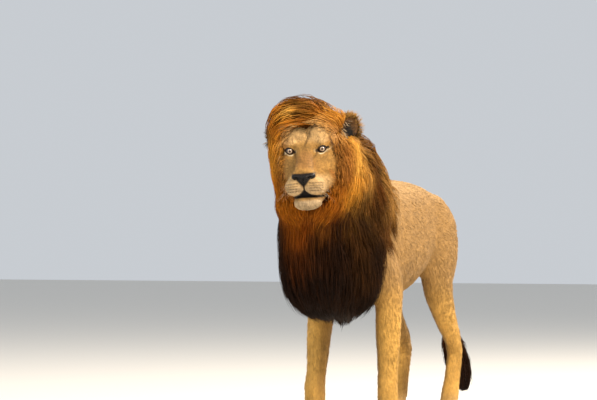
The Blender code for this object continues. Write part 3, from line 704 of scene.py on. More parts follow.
def faceTint(points, outward, tint):
    local = toHead(points)
    x, y, z = local.T
    a = np.abs(x)
    mirrored = columns(a, y, z)
    layers = []

    def paint(name, weight):  # each colour goes over those before it
        layers.append((name, weight))

    paint("forehead", ease(z, 0.02, 0.06))
    for name, sides, centre, radii, soft, most in faceSpots:
        paint(name, spotted(mirrored if sides == "both" else local, centre, radii, soft) * most)
    paint("chin", fade(z, -0.212, -0.196) * fade(y, -0.05, 0.0))
    paint("chin", spotted(mirrored, (0.020, -0.16, -0.168), (0.040, 0.05, 0.022)) * 0.6)
    # the face's browner edge by the mane, partly its own colour and partly painted shade under the mane's
    # rim
    edge = ease(faceOval(local), 0.68, 1.0) * fade(z, 0.02, 0.06) * ease(y, -0.06, 0.0)
    paint("cheekEdgeAndShade", edge * 0.75)
    smudge = np.abs(x - 0.38 * z + 0.008)  # a soft dark mark down the middle of the forehead
    paint("tear", fade(smudge, 0.0015, 0.009) * ease(z, -0.01, 0.03) * (y < 0.1) * 0.62)
    for lean in (0.052, 0.072):  # short dark strokes over each brow
        line = np.abs(a - lean - 0.25 * (z - 0.03))
        paint("tear", fade(line, 0.0008, 0.0035) * ease(z, 0.024, 0.034) * fade(z, 0.045, 0.06) * 0.5)
    fold = np.hypot(a - 0.106 + 0.45 * (z + 0.11), np.clip(np.abs(z + 0.11) - 0.018, 0, 1))
    paint("cheekEdgeAndShade", fade(fold, 0.003, 0.012) * 0.8 * (y < 0.06))
    cx, _, cz = eye["centre"]
    byEye = (np.hypot(a - cx, z - cz) < 0.034) & (y < 0.03)
    gap = eyeOpening(a - cx, z - cz)
    height = z - cz - eye["tilt"] * (a - cx)
    thick = 0.0024 * ease(height, 0.0, 0.004)  # the upper lid's rim is the wider
    paint("rim", byEye * fade(gap - thick, 0.0026, 0.0050))
    inner = spotted(mirrored, (0.0475, -0.018, -0.0055), (0.0080, 0.02, 0.0045), 0.3)
    outer = spotted(mirrored, (0.0895, 0.0, 0.0060), (0.0085, 0.03, 0.0026), 0.3)
    paint("rim", np.maximum(inner, outer))  # the corners of the eye
    pale = ease(gap, 0.0050, 0.0060) * fade(gap, 0.0085, 0.0110) * fade(height, -0.007, -0.003)
    paint("underEye", pale * ease(a, 0.050, 0.056) * byEye * 0.9)
    fall = np.clip((z + 0.003) / -0.030, 0, 1)
    tear = np.hypot(a - (0.048 - 0.008 * fall), np.clip(z + 0.003, 0, 1) + np.clip(-0.033 - z, 0, 1))
    paint("tear", fade(tear, 0.0015, 0.0060) * (y < 0) * (0.9 - 0.8 * fall))
    for row in range(whisker["rows"]):  # the rows of dark whisker roots
        dash = 0.72 + 0.28 * np.cos((a - 0.027 - 0.002 * row) * 2 * math.pi / whisker["apart"])
        line = fade(np.abs(z - whiskerRow(row, a)), 0.0008, 0.0036)
        paint("spot", line * ease(a, 0.018, 0.026) * fade(a, 0.070, 0.086) * dash * (y < -0.05) * 0.9)
    paint("lip", fade(mouthEdge(x, z), 0.0025, 0.0060) * fade(a, 0.072, 0.084) * (y < -0.015))
    paint("lip", fade(a, 0.002, 0.0042) * fade(z, -0.135, -0.130) * ease(z, -0.18, -0.175) * (y < -0.1))
    outside = noseEdge(a, z)
    paint("tear", fade(outside, 0.001, 0.008) * (y < -0.105) * 0.6)
    paint("rim", fade(outside, -0.002, 0.002) * (y < -0.105))
    ear = ease(np.hypot(a, z - 0.02), 0.125, 0.145) * ease(y, 0.09, 0.11)
    back = (outward @ headAxes)[:, 1]
    paint("earInside", ear * (back < 0.0))
    paint("earBack", ear * ease(back, 0.1, 0.4) * ease(z, 0.05, 0.08))
    # painted shade: near-black in the hollow of each ear
    paint("rim", spotted(mirrored, (0.162, 0.155, 0.066), (0.024, 0.03, 0.036)))
    face = plain(coat["face"], len(points))
    for name, weight in layers:
        face = over(face, coat[name], weight)
    return tint + (face - tint) * fade(y, 0.16, 0.24)[:, None]


shortFur = {
    "streaks": (240.0, 60.0, 75.0),  # hairs 4 mm wide and about 15 mm long, coarser than real ones
    "blotches": 11.0,  # about 9 cm across
    "rough": 0.72,
    "sheen": 0.15,
    "sheenTint": "#e8c79a",
}


# Short flat fur seen close: fine streaks in broad soft blotches, with a faint sheen.
def furMaterial(name, relief):
    material, tree, shader = blankMaterial(name)
    tint = addNode(tree, "Attribute", attribute_name="furTint").outputs["Color"]
    place = addNode(tree, "TexCoord").outputs["Object"]
    streaked = addNode(tree, "Mapping", {"Vector": place, "Scale": shortFur["streaks"]}).outputs[0]
    grain = {"Vector": streaked, "Scale": 1.0, "Detail": 4.0, "Roughness": 0.65}
    hairs = addNode(tree, "TexNoise", grain).outputs[0]
    grain = {"Vector": place, "Scale": shortFur["blotches"], "Detail": 5.0}
    blotches = addNode(tree, "TexNoise", grain).outputs[0]
    span = {"From Min": 0.3, "From Max": 0.7}
    fine = addNode(tree, "MapRange", {"Value": hairs, **span, "To Min": 0.78, "To Max": 1.16})
    broad = addNode(tree, "MapRange", {"Value": blotches, **span, "To Min": 0.86, "To Max": 1.10})
    shade = addNode(tree, "Math", {0: fine.outputs[0], 1: broad.outputs[0]}, operation="MULTIPLY")
    colour = addNode(tree, "VectorMath", {0: tint, 3: shade.outputs[0]}, operation="SCALE")
    bump = addNode(tree, "Bump", {"Height": hairs, "Strength": relief, "Distance": 0.004})
    feed(tree, shader, {"Base Color": colour.outputs[0], "Normal": bump.outputs[0]})
    feed(tree, shader, {"Roughness": shortFur["rough"], "Specular IOR Level": 0.25})
    feed(tree, shader, {"Sheen Weight": shortFur["sheen"], "Sheen Roughness": 0.4})
    feed(tree, shader, {"Sheen Tint": linear(shortFur["sheenTint"])})
    return material


# positive where a place lies so deep under the mane that no skin is needed
def buriedBy(points):
    return np.where(inBox(envelope, points), -fieldAt(envelope, points) - skin["buriedIn"], -1.0)


# One skin over all the flesh: the body where it shows, and the head at a finer spacing.
def buildSkin():
    values, low, spacing = bodyFlesh
    flesh = values.ravel() < 0.02
    places = columns(*axesOf(bodyFlesh)).reshape(-1, 3)[flesh]
    local = toHead(places)
    front = np.minimum(0.19 - local[:, 1], local[:, 2] + 0.30)  # the head has its own finer mesh
    buried = np.full(values.size, -1.0, np.float32)
    buried[flesh] = np.maximum(front, buriedBy(places))
    values = np.maximum(values, buried.reshape(values.shape))
    bodyPoints, bodyFaces = surfaceOf((values, low, spacing), merge=skin["merge"])
    values, low, spacing = faceFlesh
    back = np.broadcast_to(axesOf(faceFlesh)[1] - skin["headBack"], values.shape).copy().ravel()
    flesh = values.ravel() < 0.01
    places = columns(*axesOf(faceFlesh)).reshape(-1, 3)[flesh]
    back[flesh] = np.maximum(back[flesh], buriedBy(fromHead(places)))
    values = np.maximum(values, back.reshape(values.shape))
    headPoints, headFaces = surfaceOf((values, low, spacing), merge=skin["headMerge"])
    headPoints = fromHead(headPoints)
    faces = bodyFaces + [f.astype(np.int64) + len(bodyPoints) for f in headFaces]
    points = np.concatenate((bodyPoints, headPoints))
    headOut = outwardAt(faceFlesh, toHead(headPoints)) @ headAxes.T
    tint = coatTint(points, np.concatenate((outwardAt(bodyFlesh, bodyPoints), headOut)))
    piece = makeMesh("skin", points, faces, furMaterial("shortLionFur", 0.5), colours=tint)
    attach(piece, "root")
    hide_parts(*[n for n in fleshNodes if not n.startswith(("eye", "nose"))])
    return (bodyPoints, bodyFaces), (headPoints, headFaces)


bodyMesh, headMesh = buildSkin()
print("skin built", sum(len(f) * (f.shape[1] - 2) for mesh in (bodyMesh, headMesh) for f in mesh[1]))


hair = {
    "gold": "#de9a34",
    "honey": "#f0ba58",
    "orange": "#bc6e18",
    "rust": "#83400a",
    "brown": "#4c290b",
    "dark": "#2c180c",
    "black": "#1a0e08",
    "tawny": "#a87a3c",
    "cheek": "#b87534",
    "rootDepth": 0.044,  # how far under the mane's outer shape the locks are rooted
    "clumps": 2100,
    "strands": 24000,
    "mostInPiece": 5400,  # keeps each piece under 200,000 triangles
    "rings": 7,
    "width": 0.0052,
    "thickness": 0.0026,
    "seed": 11,
}

# The lie of the mane: each row has a place in mm, the way the hair goes, its length in cm, and
# its colours at the root and at the tip. These places are in the head's frame.
headLie = [
    # crown, combed by the wind from the lion's left to its right
    (128, 40, 80, -55, -10, 75, 12, "orange", "gold"),
    (95, 20, 115, -85, -20, 45, 14, "orange", "gold"),
    (55, 10, 140, -100, -25, 20, 16, "brown", "rust"),
    (120, 80, 135, -75, -10, 60, 18, "orange", "gold"),
    (70, 60, 175, -95, -15, 35, 20, "brown", "rust"),
    (110, 140, 165, -75, 25, 35, 18, "rust", "tawny"),
    (30, 120, 215, -100, -10, 10, 20, "dark", "brown"),
    (10, 10, 165, -100, -25, 5, 20, "dark", "brown"),
    (-20, 0, 140, -100, -25, -5, 18, "dark", "dark"),
    (-35, 40, 195, -100, -15, 0, 20, "dark", "brown"),
    (-80, -10, 160, -95, -20, -25, 16, "gold", "honey"),
    (-105, -10, 140, -80, -20, -60, 14, "orange", "gold"),
    (-85, 100, 205, -95, 5, -20, 18, "dark", "brown"),
    (-125, 10, 180, -80, -15, -60, 16, "rust", "orange"),
    (-150, 0, 140, -45, -10, -90, 14, "orange", "orange"),
    # painted shade: the brown of these two rows stands for the shadow under the crown's curl on the lion's
    # right
    (-180, 50, 140, -15, -10, -100, 13, "brown", "brown"),
    (-180, 50, 85, 45, -15, -90, 10, "brown", "brown"),
    (-125, -10, 105, -45, -10, -90, 10, "rust", "orange"),
    (-75, -15, 115, -95, -25, -30, 12, "rust", "orange"),
    (-10, -15, 118, -100, -25, -5, 13, "dark", "rust"),
    (55, 0, 110, -95, -20, 15, 13, "orange", "gold"),
    (0, 220, 200, -70, 60, 0, 20, "brown", "brown"),
    (120, 220, 150, -60, 65, 10, 17, "rust", "brown"),
    (-130, 200, 140, -50, 70, -50, 18, "brown", "brown"),
    (0, 350, 120, 0, 80, -60, 20, "dark", "dark"),
    # over and behind the ear
    (165, 175, 140, -35, 80, 15, 12, "tawny", "brown"),
    (205, 200, 90, 30, 80, -50, 14, "tawny", "dark"),
    # the side turned to the light: orange by the face, then a gold stream from the temple to the throat
    (132, 20, 50, 35, 20, -90, 10, "cheek", "orange"),
    (145, 25, 0, 22, 12, -100, 12, "cheek", "cheek"),
    (150, 20, -70, 6, 5, -100, 14, "rust", "cheek"),
    (138, 10, -140, -15, -5, -100, 15, "orange", "orange"),
    (100, -10, -205, -40, -10, -95, 14, "rust", "orange"),
    (160, 60, 50, 45, 15, -85, 14, "gold", "honey"),
    (185, 75, 0, 28, 15, -95, 17, "gold", "honey"),
    (203, 80, -60, 6, 8, -100, 18, "gold", "honey"),
    (200, 70, -130, -18, 0, -100, 18, "gold", "gold"),
    (175, 45, -200, -48, -10, -95, 13, "orange", "gold"),
    (130, 10, -255, -80, -15, -80, 11, "brown", "rust"),
    (65, -20, -285, -60, -10, -95, 13, "rust", "orange"),
    (205, 110, 45, 45, 30, -85, 14, "tawny", "tawny"),
    (230, 130, 20, 50, 50, -75, 16, "tawny", "tawny"),
    (242, 130, -70, 35, 40, -90, 18, "orange", "tawny"),
    (238, 130, -160, 12, 25, -100, 18, "orange", "tawny"),
    (215, 100, -250, -15, 10, -100, 18, "brown", "dark"),
    (240, 220, 30, 45, 75, -60, 18, "rust", "brown"),
    (250, 220, -90, 35, 60, -85, 18, "rust", "brown"),
    # the far side
    (-120, 30, 50, -30, 10, -100, 11, "orange", "gold"),
    (-135, 20, -20, -25, 5, -100, 14, "orange", "gold"),
    (-140, 10, -100, -8, 2, -100, 16, "orange", "orange"),
    (-120, 0, -180, 12, -3, -100, 16, "orange", "orange"),
    (-70, -20, -250, 20, -6, -100, 15, "rust", "orange"),
    (-140, 40, -280, 0, 0, -100, 16, "orange", "rust"),
    (-180, 150, 0, -35, 60, -75, 18, "rust", "brown"),
    (-175, 150, -150, -25, 40, -90, 18, "rust", "brown"),
]
# These are in the drawing's frame, and "both" stands for a mirrored pair.
bodyLie = [
    # throat and chest
    (20, -570, 920, -15, -5, -100, 18, "rust", "rust"),
    (-30, -545, 850, -5, 0, -100, 18, "rust", "rust"),
    (-30, -520, 740, -5, 5, -100, 19, "brown", "dark"),
    (-110, -520, 950, -8, 0, -100, 18, "brown", "dark"),
    (-100, -510, 860, -8, 2, -100, 19, "brown", "dark"),
    (-160, -490, 850, -8, 5, -100, 19, "dark", "black"),
    (-130, -490, 750, -8, 5, -100, 19, "dark", "black"),
    (80, -550, 900, -15, 0, -100, 18, "dark", "dark"),
    (130, -520, 880, 0, 5, -100, 20, "dark", "black"),
    (180, -480, 960, 5, 10, -100, 20, "dark", "dark"),
    (60, -530, 790, 0, 5, -100, 20, "dark", "black"),
    (120, -500, 935, -5, 5, -100, 18, "dark", "dark"),
    (165, -490, 915, -5, 5, -100, 18, "dark", "black"),
    (62, -548, 850, -5, 5, -100, 18, "dark", "dark"),
    (200, -400, 970, 5, 20, -100, 18, "dark", "dark"),
    (-145, -490, 930, -5, 5, -100, 18, "dark", "black"),
    (130, -490, 760, 8, 8, -100, 21, "dark", "black", "both"),
    (100, -470, 640, 4, 12, -100, 17, "dark", "black", "both"),
    (0, -500, 630, 0, 10, -100, 17, "dark", "black"),
    (0, -320, 510, 0, 35, -100, 12, "dark", "black"),
    (150, -250, 530, 5, 30, -100, 12, "dark", "black", "both"),
    # shoulders and withers
    (225, -350, 900, 15, 30, -95, 20, "dark", "black", "both"),
    (235, -250, 750, 8, 30, -100, 20, "dark", "black", "both"),
    (225, -270, 1020, 25, 55, -85, 20, "brown", "brown", "both"),
    (195, -120, 1080, 30, 75, -60, 19, "rust", "tawny", "both"),
    (225, -60, 960, 15, 60, -75, 16, "tawny", "tawny", "both"),
    (225, -60, 860, 10, 50, -90, 17, "brown", "brown", "both"),
    (225, -60, 760, 8, 40, -100, 17, "brown", "brown", "both"),
    (200, -90, 620, 5, 30, -100, 14, "dark", "black", "both"),
    (0, -280, 1220, 0, 85, -50, 20, "dark", "dark"),
    (110, -220, 1160, 30, 85, -45, 20, "brown", "dark", "both"),
    (0, -30, 1120, 0, 95, -20, 17, "dark", "brown"),
]


# a guide as numbers: its place, way, length and two colours
def readGuide(row, side, onHead):
    place, way = np.array(row[:3]) / 1000 * (side, 1, 1), np.array(row[3:6]) / 100 * (side, 1, 1)
    if onHead:
        place, way = fromHead(place), headAxes @ way
    else:
        place = place + drawn
    return np.concatenate((place, way, [row[6] / 100], rgb(hair[row[7]]), rgb(hair[row[8]])))


guides = [readGuide(row, 1, True) for row in headLie]
for row in bodyLie:
    guides += [readGuide(row, side, False) for side in ((1, -1) if row[-1] == "both" else (1,))]
lieRows = np.array(guides)


# the lie of the mane at places, mixed from the guides near each: direction, length, colours
def lieAt(points):
    gap = ((points[:, None, :] - lieRows[None, :, :3]) ** 2).sum(axis=2)
    weights = 1 / (gap + 0.025**2) ** 2.2
    weights /= weights.sum(axis=1, keepdims=True)
    mixed = weights @ lieRows[:, 3:]
    return mixed[:, :3], mixed[:, 3], mixed[:, 4:7], mixed[:, 7:10]


def wayAt(points):
    return lieAt(points)[0]


# places spread evenly over a mesh
def scatter(points, triangles, count, draw):
    a, b, c = (points[triangles[:, i]].astype(float) for i in range(3))
    area = np.linalg.norm(np.cross(b - a, c - a), axis=1)
    chosen = draw.choice(len(triangles), count, p=area / area.sum())
    u, v = draw.random((2, count))
    fold = u + v > 1
    u, v = np.where(fold, 1 - u, u), np.where(fold, 1 - v, v)
    a, b, c = a[chosen], b[chosen], c[chosen]
    return a + (b - a) * u[:, None] + (c - a) * v[:, None]


# places spread evenly over the surface where a field has one value
def scatterAt(field, level, count, draw):
    points, faces = surfaceOf(field, level)
    return scatter(points, asTriangles(faces), count, draw)


# the directions with part of their way in or out of the form taken off
def flattened(ways, out, share):
    return ways - out * (ways * out).sum(axis=-1, keepdims=True) * share


# Tapered locks: each is a flat three-sided profile carried along its own path to a point.
# paths is lock by ring by xyz, with the tip as its last ring; the arrays give all locks at once.
def lockArrays(paths, outward, widths, thickness):
    count, rings = paths.shape[:2]
    along = unit(np.gradient(paths, axis=1))
    across = unit(np.cross(along, outward))
    up = np.cross(across, along)
    t = np.linspace(0, 1, rings)[:-1]
    taper = (0.55 + 0.45 * np.sin(np.pi * np.clip(t * 1.15 + 0.12, 0, 1))) * (1 - 0.35 * t)
    corners = []
    for angle in (math.radians(90), math.radians(210), math.radians(330)):
        sideways = across[:, :-1] * (math.cos(angle) * taper[None, :, None] * widths[:, None, None] / 2)
        lift = up[:, :-1] * (math.sin(angle) * taper[None, :, None] * thickness / 2)
        corners.append(paths[:, :-1] + sideways + lift)
    sides = np.stack(corners, axis=2).reshape(count, -1, 3)
    points = np.concatenate((sides, paths[:, -1:]), axis=1)
    return points.reshape(-1, 3), lockFaces(count, rings)


# faces of all locks, and for each face corner its place round and along the lock
def lockFaces(count, rings):
    perLock = 3 * (rings - 1) + 1
    quads, quadPlaces = [], []
    for ring in range(rings - 2):
        for k in range(3):
            n = (k + 1) % 3
            quads.append((3 * ring + k, 3 * ring + 3 + k, 3 * ring + 3 + n, 3 * ring + n))
            quadPlaces += [(k, ring), (k, ring + 1), (k + 1, ring + 1), (k + 1, ring)]
    last = 3 * (rings - 2)
    triangles, trianglePlaces = [(0, 1, 2)], [(0, 0), (1, 0), (2, 0)]
    for k in range(3):
        triangles.append((last + k, perLock - 1, last + (k + 1) % 3))
        trianglePlaces += [(k, rings - 2), (k + 0.5, rings - 1), (k + 1, rings - 2)]
    start = (np.arange(count) * perLock)[:, None, None]
    faceSets = [(np.array(faces)[None] + start).reshape(-1, len(faces[0])) for faces in (quads, triangles)]
    scale = np.array((1 / 3, 1 / (rings - 1)))
    return faceSets, [np.array(quadPlaces) * scale, np.array(trianglePlaces) * scale]


# One mesh of locks. Each lock has its own patch on the bake map, 0.003 across, at its root's place
# on the unwrap. With shadedOver at their width, locks take the light as the form under them does,
# and only a little by their own shape.
def lockPiece(name, paths, outward, widths, thickness, material, unwrapped, colours=None, shadedOver=0):
    points, (faceSets, cornerPlaces) = lockArrays(paths, outward, widths, thickness)
    patches = [(unwrapped[:, None] + 0.003 * places[None]).reshape(-1, 2) for places in cornerPlaces]
    extras = {"colours": colours, "patches": np.concatenate(patches)}
    if shadedOver:
        own = 0.25 * (points.reshape(len(paths), -1, 3) - paths[:, 1:2]) / shadedOver
        extras["normals"] = unit(outward[:, :1] + own).reshape(-1, 3)
    return makeMesh(name, points, faceSets, material, **extras)


# a turn as a share of the whole way round
def roundShare(across, along):
    return np.arctan2(across, along) / (2 * math.pi) + 0.5


# an unwrap of the mane's own shape: round the axis of the neck, and from the chest up to the crown
def unwrapMane(points):
    x, y, z = (points - drawn - np.array((0.0, -0.33, 0.95))).T
    height = np.arctan2(z, np.hypot(x, y)) / math.pi + 0.5
    return columns(0.01 + 0.97 * roundShare(x, -y), 0.01 + 0.97 * height)


# Coarse dry hair with almost no shine, named for where it grows. Its flecks are 4 mm apart, coarser
# than real, so that they show.
def hairMaterial(name, rough=0.5):
    material, tree, shader = blankMaterial(name)
    tint = addNode(tree, "Attribute", attribute_name="furTint").outputs["Color"]
    place = addNode(tree, "TexCoord").outputs["Object"]
    flecks = addNode(tree, "TexNoise", {"Vector": place, "Scale": 260.0, "Detail": 2.0}).outputs[0]
    span = {"From Min": 0.3, "From Max": 0.7}
    shade = addNode(tree, "MapRange", {"Value": flecks, **span, "To Min": 0.82, "To Max": 1.18})
    colour = addNode(tree, "VectorMath", {0: tint, 3: shade.outputs[0]}, operation="SCALE")
    inputs = {"Base Color": colour.outputs[0], "Roughness": rough, "Specular IOR Level": 0.06}
    feed(tree, shader, inputs)
    return material


# 1 behind the left ear, where the hair stands out
def behindEar(points):
    return spotted(toHead(points), (0.215, 0.235, 0.065), (0.075, 0.110, 0.085), 0.5)


# carries clumps of hair along the lie of the mane, each kept at its depth under the outer shape
def combClumps(roots, draw):
    rings = hair["rings"]
    length = lieAt(roots)[1] * draw.uniform(0.75, 1.15, len(roots))
    step = length / (rings - 1)
    tipDepth = draw.normal(0.003, 0.005, len(roots)) + 0.030 * behindEar(roots)
    path, normals = [roots], [outwardAt(envelope, roots)]
    for ring in range(1, rings):
        way = unit(flattened(unit(wayAt(path[-1])), normals[-1], 0.8))
        place = path[-1] + way * step[:, None]
        t = ring / (rings - 1)
        wanted = -hair["rootDepth"] * fade(t, 0.0, 0.5) - 0.008 * (1 - t) + tipDepth * t
        out = outwardAt(envelope, place)
        free = fade(place[:, 2], 0.52, 0.68)  # under the chest the locks hang clear of the form
        rise = np.clip(wanted - fieldAt(envelope, place), -0.03 * (1 - 0.85 * free), 0.022)
        path.append(place + out * rise[:, None])
        normals.append(out)
    return np.stack(path, axis=1), np.stack(normals, axis=1)


# true where hair would hang over the face
def overFace(local):
    return (faceOval(local) < 1) & (local[..., 1] < 0.07) & (local[..., 2] < 0.118)


# true inside an ellipse seen from the front, and ahead of a depth
def inEllipse(local, x, z, wide, tall, depth):
    gap = np.hypot((local[..., 0] - x) / wide, (local[..., 2] - z) / tall)
    return (gap < 1) & (local[..., 1] < depth)


def overChin(local):
    return inEllipse(local, 0.012, -0.203, 0.068, 0.036, 0.0)


# the open front of the left ear
def overEar(local):
    return inEllipse(local, 0.176, 0.076, 0.028, 0.044, 0.17)


# The mane: strands gathered in clumps, each kept near the outer shape, in one piece for each solid.
def buildMane():
    draw = np.random.default_rng(hair["seed"])
    roots = scatterAt(envelope, -hair["rootDepth"], hair["clumps"] * 3, draw)
    above = roots + outwardAt(envelope, roots) * 0.026
    roots = roots[fieldAt(hairRoom, above) < 0.0][: hair["clumps"]]
    clumpPaths, clumpNormals = combClumps(roots, draw)
    keep = ~overFace(toHead(clumpPaths))[:, 2:].any(axis=1)
    clumpPaths, clumpNormals = clumpPaths[keep], clumpNormals[keep]
    clumps = len(clumpPaths)
    print("clumps", clumps)
    count = hair["strands"]
    each = (count, 1, 1)
    owner = draw.integers(0, clumps, count)
    t = np.linspace(0, 1, hair["rings"])[None, :, None]
    paths, normals = clumpPaths[owner], clumpNormals[owner]
    sideways = flattened(draw.normal(0, 0.0115, (count, 1, 3)), normals[:, :1], 0.6)
    along = unit(np.gradient(paths, axis=1))
    middle = paths[:, :1] + (paths - paths[:, :1]) * draw.uniform(0.72, 1.12, each)
    loose = draw.uniform(0.4, 0.95, each)
    paths = middle + sideways * (1 - loose * t**1.3) - along * draw.uniform(0, 0.03, each) * (1 - t)
    wave = np.cross(along, normals) * draw.normal(0, 0.0035, each)
    paths = paths + wave * np.sin(t * draw.uniform(3, 9, each) + draw.uniform(0, 6, each)) * t
    flat = paths.reshape(-1, 3)
    room = 0.013 + 0.040 * fade(flat[:, 2], 0.48, 0.62) + 0.030 * behindEar(flat)
    proud = np.clip(fieldAt(envelope, flat) - room, 0, None)
    paths = (flat - outwardAt(envelope, flat) * proud[:, None]).reshape(paths.shape)
    keep = ~overEar(toHead(paths))[:, 1:].any(axis=1)
    paths, normals, owner, count = paths[keep], normals[keep], owner[keep], int(keep.sum())
    tone = draw.normal(1.0, 0.18, (count, 1)).clip(0.5, 1.6)
    clumpTone = draw.normal(0, 1, clumps)[owner][:, None]  # whole clumps are lighter or darker
    tone = tone * (1 + 0.20 * clumpTone).clip(0.45, 1.6)
    shades = maneShades(paths, tone)
    widths = hair["width"] * draw.uniform(0.55, 1.3, count)
    middle = paths[:, hair["rings"] // 2]
    crown, chest = middle[:, 2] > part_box("mane_crown")[0].z, middle[:, 2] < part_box("mane_left")[0].z
    left = middle[:, 0] > 0.005
    material = hairMaterial("maneHair")
    for node, members in {
        "mane_crown": crown,
        "mane_left": ~crown & ~chest & left,
        "mane_right": ~crown & ~chest & ~left,
        "mane_chest_left": chest & left,
        "mane_chest_right": chest & ~left,
    }.items():
        some = np.nonzero(members)[0][: hair["mostInPiece"]]
        form = (paths[some], normals[some], widths[some], hair["thickness"])
        unwrapped = unwrapMane(paths[some, 0])
        piece = lockPiece("locks_" + node, *form, material, unwrapped, shades[some].reshape(-1, 3))
        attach(piece, "root")
        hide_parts(node)
        print(node, members.sum(), "locks")


# each ring of a lock takes most of its colour from the lie of the mane where it is
def maneShades(paths, tone):
    rings = hair["rings"]
    _, _, rootTint, tipTint = lieAt(paths[:, 0])
    shades = []
    for ring, t in enumerate(np.linspace(0, 1, rings)):
        here = 0.2 * tipTint + 0.8 * lieAt(paths[:, ring])[3]
        if ring < rings - 1:
            # painted shade: near the root each lock is darkened to 0.6 of its root colour, for the shade
            # deep in the mane
            here = rootTint * 0.6 + (here - rootTint * 0.6) * ease(t, 0.0, 0.75)
            shades += [here * tone] * 3
    return np.stack(shades + [here * tone * 1.1], axis=1)


# carries single locks from their roots along a lie, each at its own depth under a form
def combLocks(field, lie, roots, lengths, rings, rootDepth, tipDepth):
    path, normals = [roots], [outwardAt(field, roots)]
    for ring in range(1, rings):
        t = ring / (rings - 1)
        place = path[-1] + unit(lie(path[-1])) * (lengths / (rings - 1))[:, None]
        wanted = rootDepth * fade(t, 0.0, 0.45) + tipDepth * ease(t, 0.0, 0.6)
        out = outwardAt(field, place)
        path.append(place + out * np.clip(wanted - fieldAt(field, place), -0.02, 0.02)[:, None])
        normals.append(out)
    return np.stack(path, axis=1), np.stack(normals, axis=1)


ruff = {
    "locks": 6900,
    "rings": 6,
    "length": (0.040, 0.095),
    "width": 0.0040,
    "thickness": 0.0020,
    "rootDepth": -0.014,
    "candidates": 90000,
    "seed": 23,
}


# Shorter hair on the cheeks, temples and jaw, where the mane grows out of the face.
def buildRuff():
    draw = np.random.default_rng(ruff["seed"])
    depth, rings = ruff["rootDepth"], ruff["rings"]
    roots = scatterAt(envelope, depth, ruff["candidates"], draw)
    local = toHead(roots)
    share, height = faceOval(local), local[:, 2]
    start = 0.98 - 0.14 * fade(height, -0.02, 0.04) + draw.normal(0, 0.04, len(roots))
    band = (share > start) & (share < 1.6) & (local[:, 1] < 0.13) & (height < 0.12) & (height > -0.30)
    roots = roots[band][: ruff["locks"]]
    count = len(roots)
    lengths = draw.uniform(*ruff["length"], count) * ease(faceOval(toHead(roots)), 0.6, 1.3)
    tip = draw.normal(0.003, 0.0035, count)
    paths, normals = combLocks(envelope, wayAt, roots, lengths, rings, depth, tip)
    local = toHead(paths)
    barred = (overFace(local) & (faceOval(local) < 0.78)) | overEar(local) | overChin(local)
    run = np.linalg.norm(np.diff(paths, axis=1), axis=2).sum(axis=1)
    straight = np.linalg.norm(paths[:, -1] - paths[:, 0], axis=1) > 0.86 * run  # no curls by the mouth
    keep = (straight | (local[:, 0, 2] > -0.06)) & ~barred[:, 1:].any(axis=1)
    paths, normals, count = paths[keep], normals[keep], int(keep.sum())
    _, _, rootTint, tipTint = lieAt(paths[:, 0])
    skinTint = coatTint(paths[:, 0], normals[:, 0])
    local = toHead(paths[:, 0])
    edge = (fade(faceOval(local), 0.95, 1.35) * ease(local[:, 2], -0.20, -0.10))[:, None]
    rootTint = rootTint + (skinTint - rootTint) * edge
    tipTint = tipTint + (skinTint - tipTint) * edge * 0.6
    tone = draw.normal(1.0, 0.17, (count, 1)).clip(0.55, 1.5)
    # painted shade: the roots are darkened, least where they meet the face
    shades = lockShades(rootTint * (0.75 + 0.2 * edge), tipTint, tone, rings)
    form = (paths, normals, ruff["width"] * draw.uniform(0.6, 1.3, count), ruff["thickness"])
    material = hairMaterial("cheekHair")
    piece = lockPiece("cheekRuff", *form, material, unwrapMane(paths[:, 0]), shades)
    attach(piece, "root")
    print("ruff", count)


# one colour for each point of each lock, from the root's to the tip's
def lockShades(rootTint, tipTint, tone, rings):
    t = np.append(np.repeat(np.arange(rings - 1), 3), rings - 1) / (rings - 1)
    mix = rootTint[:, None] + (tipTint - rootTint)[:, None] * t[None, :, None]
    return (mix * tone[:, None]).reshape(-1, 3)


# the body of hair that shows between the locks, darkened to 0.35 of the roots' colour as painted shade
# deep in the mane
def buildUnderMane():
    values, low, spacing = envelope
    core = np.maximum(values + 0.034, hairRoom[0] - 0.012)
    points, faceSets = surfaceOf((core, low, spacing), merge=0.02)
    colours = lieAt(points)[2] * 0.35
    piece = makeMesh("underMane", points, faceSets, hairMaterial("deepManeHair", 0.8), colours=colours)
    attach(piece, "root")
    print("under mane", sum(len(f) * (f.shape[1] - 2) for f in faceSets))


buildUnderMane()
buildMane()
buildRuff()
print("mane built")


eyeball = {
    "gaze": (4.0, 1.0),  # degrees to its left, and up
    "iris": 0.50,  # radians from the axis of the eye
    "pupil": 0.185,
    "bulge": 0.0013,
    "black": "#080605",  # the pupil
    "inner": "#8a6c50",
    "middle": "#b39c84",
    "outer": "#80685a",
    "ring": "#1c120a",
    "white": "#3c2a1c",
}


# Wet cornea over a pale brown iris: the clear coat gives one sharp highlight.
def eyeMaterial():
    material, tree, shader = blankMaterial("corneaOverBrownIris")
    tint = addNode(tree, "Attribute", attribute_name="furTint").outputs["Color"]
    feed(tree, shader, {"Base Color": tint, "Roughness": 0.12, "IOR": 1.376})
    feed(tree, shader, {"Coat Weight": 0.6, "Coat Roughness": 0.03})
    return material


# the eye's colours by angle from the axis of sight: pupil, iris with its streaks, dark ring, white
def eyeTint(theta, phi):
    iris, pupil = eyeball["iris"], eyeball["pupil"]
    streak = 1 + 0.13 * np.sin(phi * 23) + 0.10 * np.sin(phi * 41 + 1.3)
    tint = plain(eyeball["middle"], theta.size)
    tint = over(tint, eyeball["inner"], fade(theta, pupil, pupil + 0.16)) * streak[:, None]
    for name, weight in (
        ("outer", ease(theta, iris - 0.14, iris - 0.04)),
        ("black", fade(theta, pupil - 0.02, pupil + 0.02)),
        ("ring", ease(theta, iris - 0.05, iris + 0.02)),
        ("white", ease(theta, iris + 0.08, iris + 0.25)),
    ):
        tint = over(tint, eyeball[name], weight)
    return tint


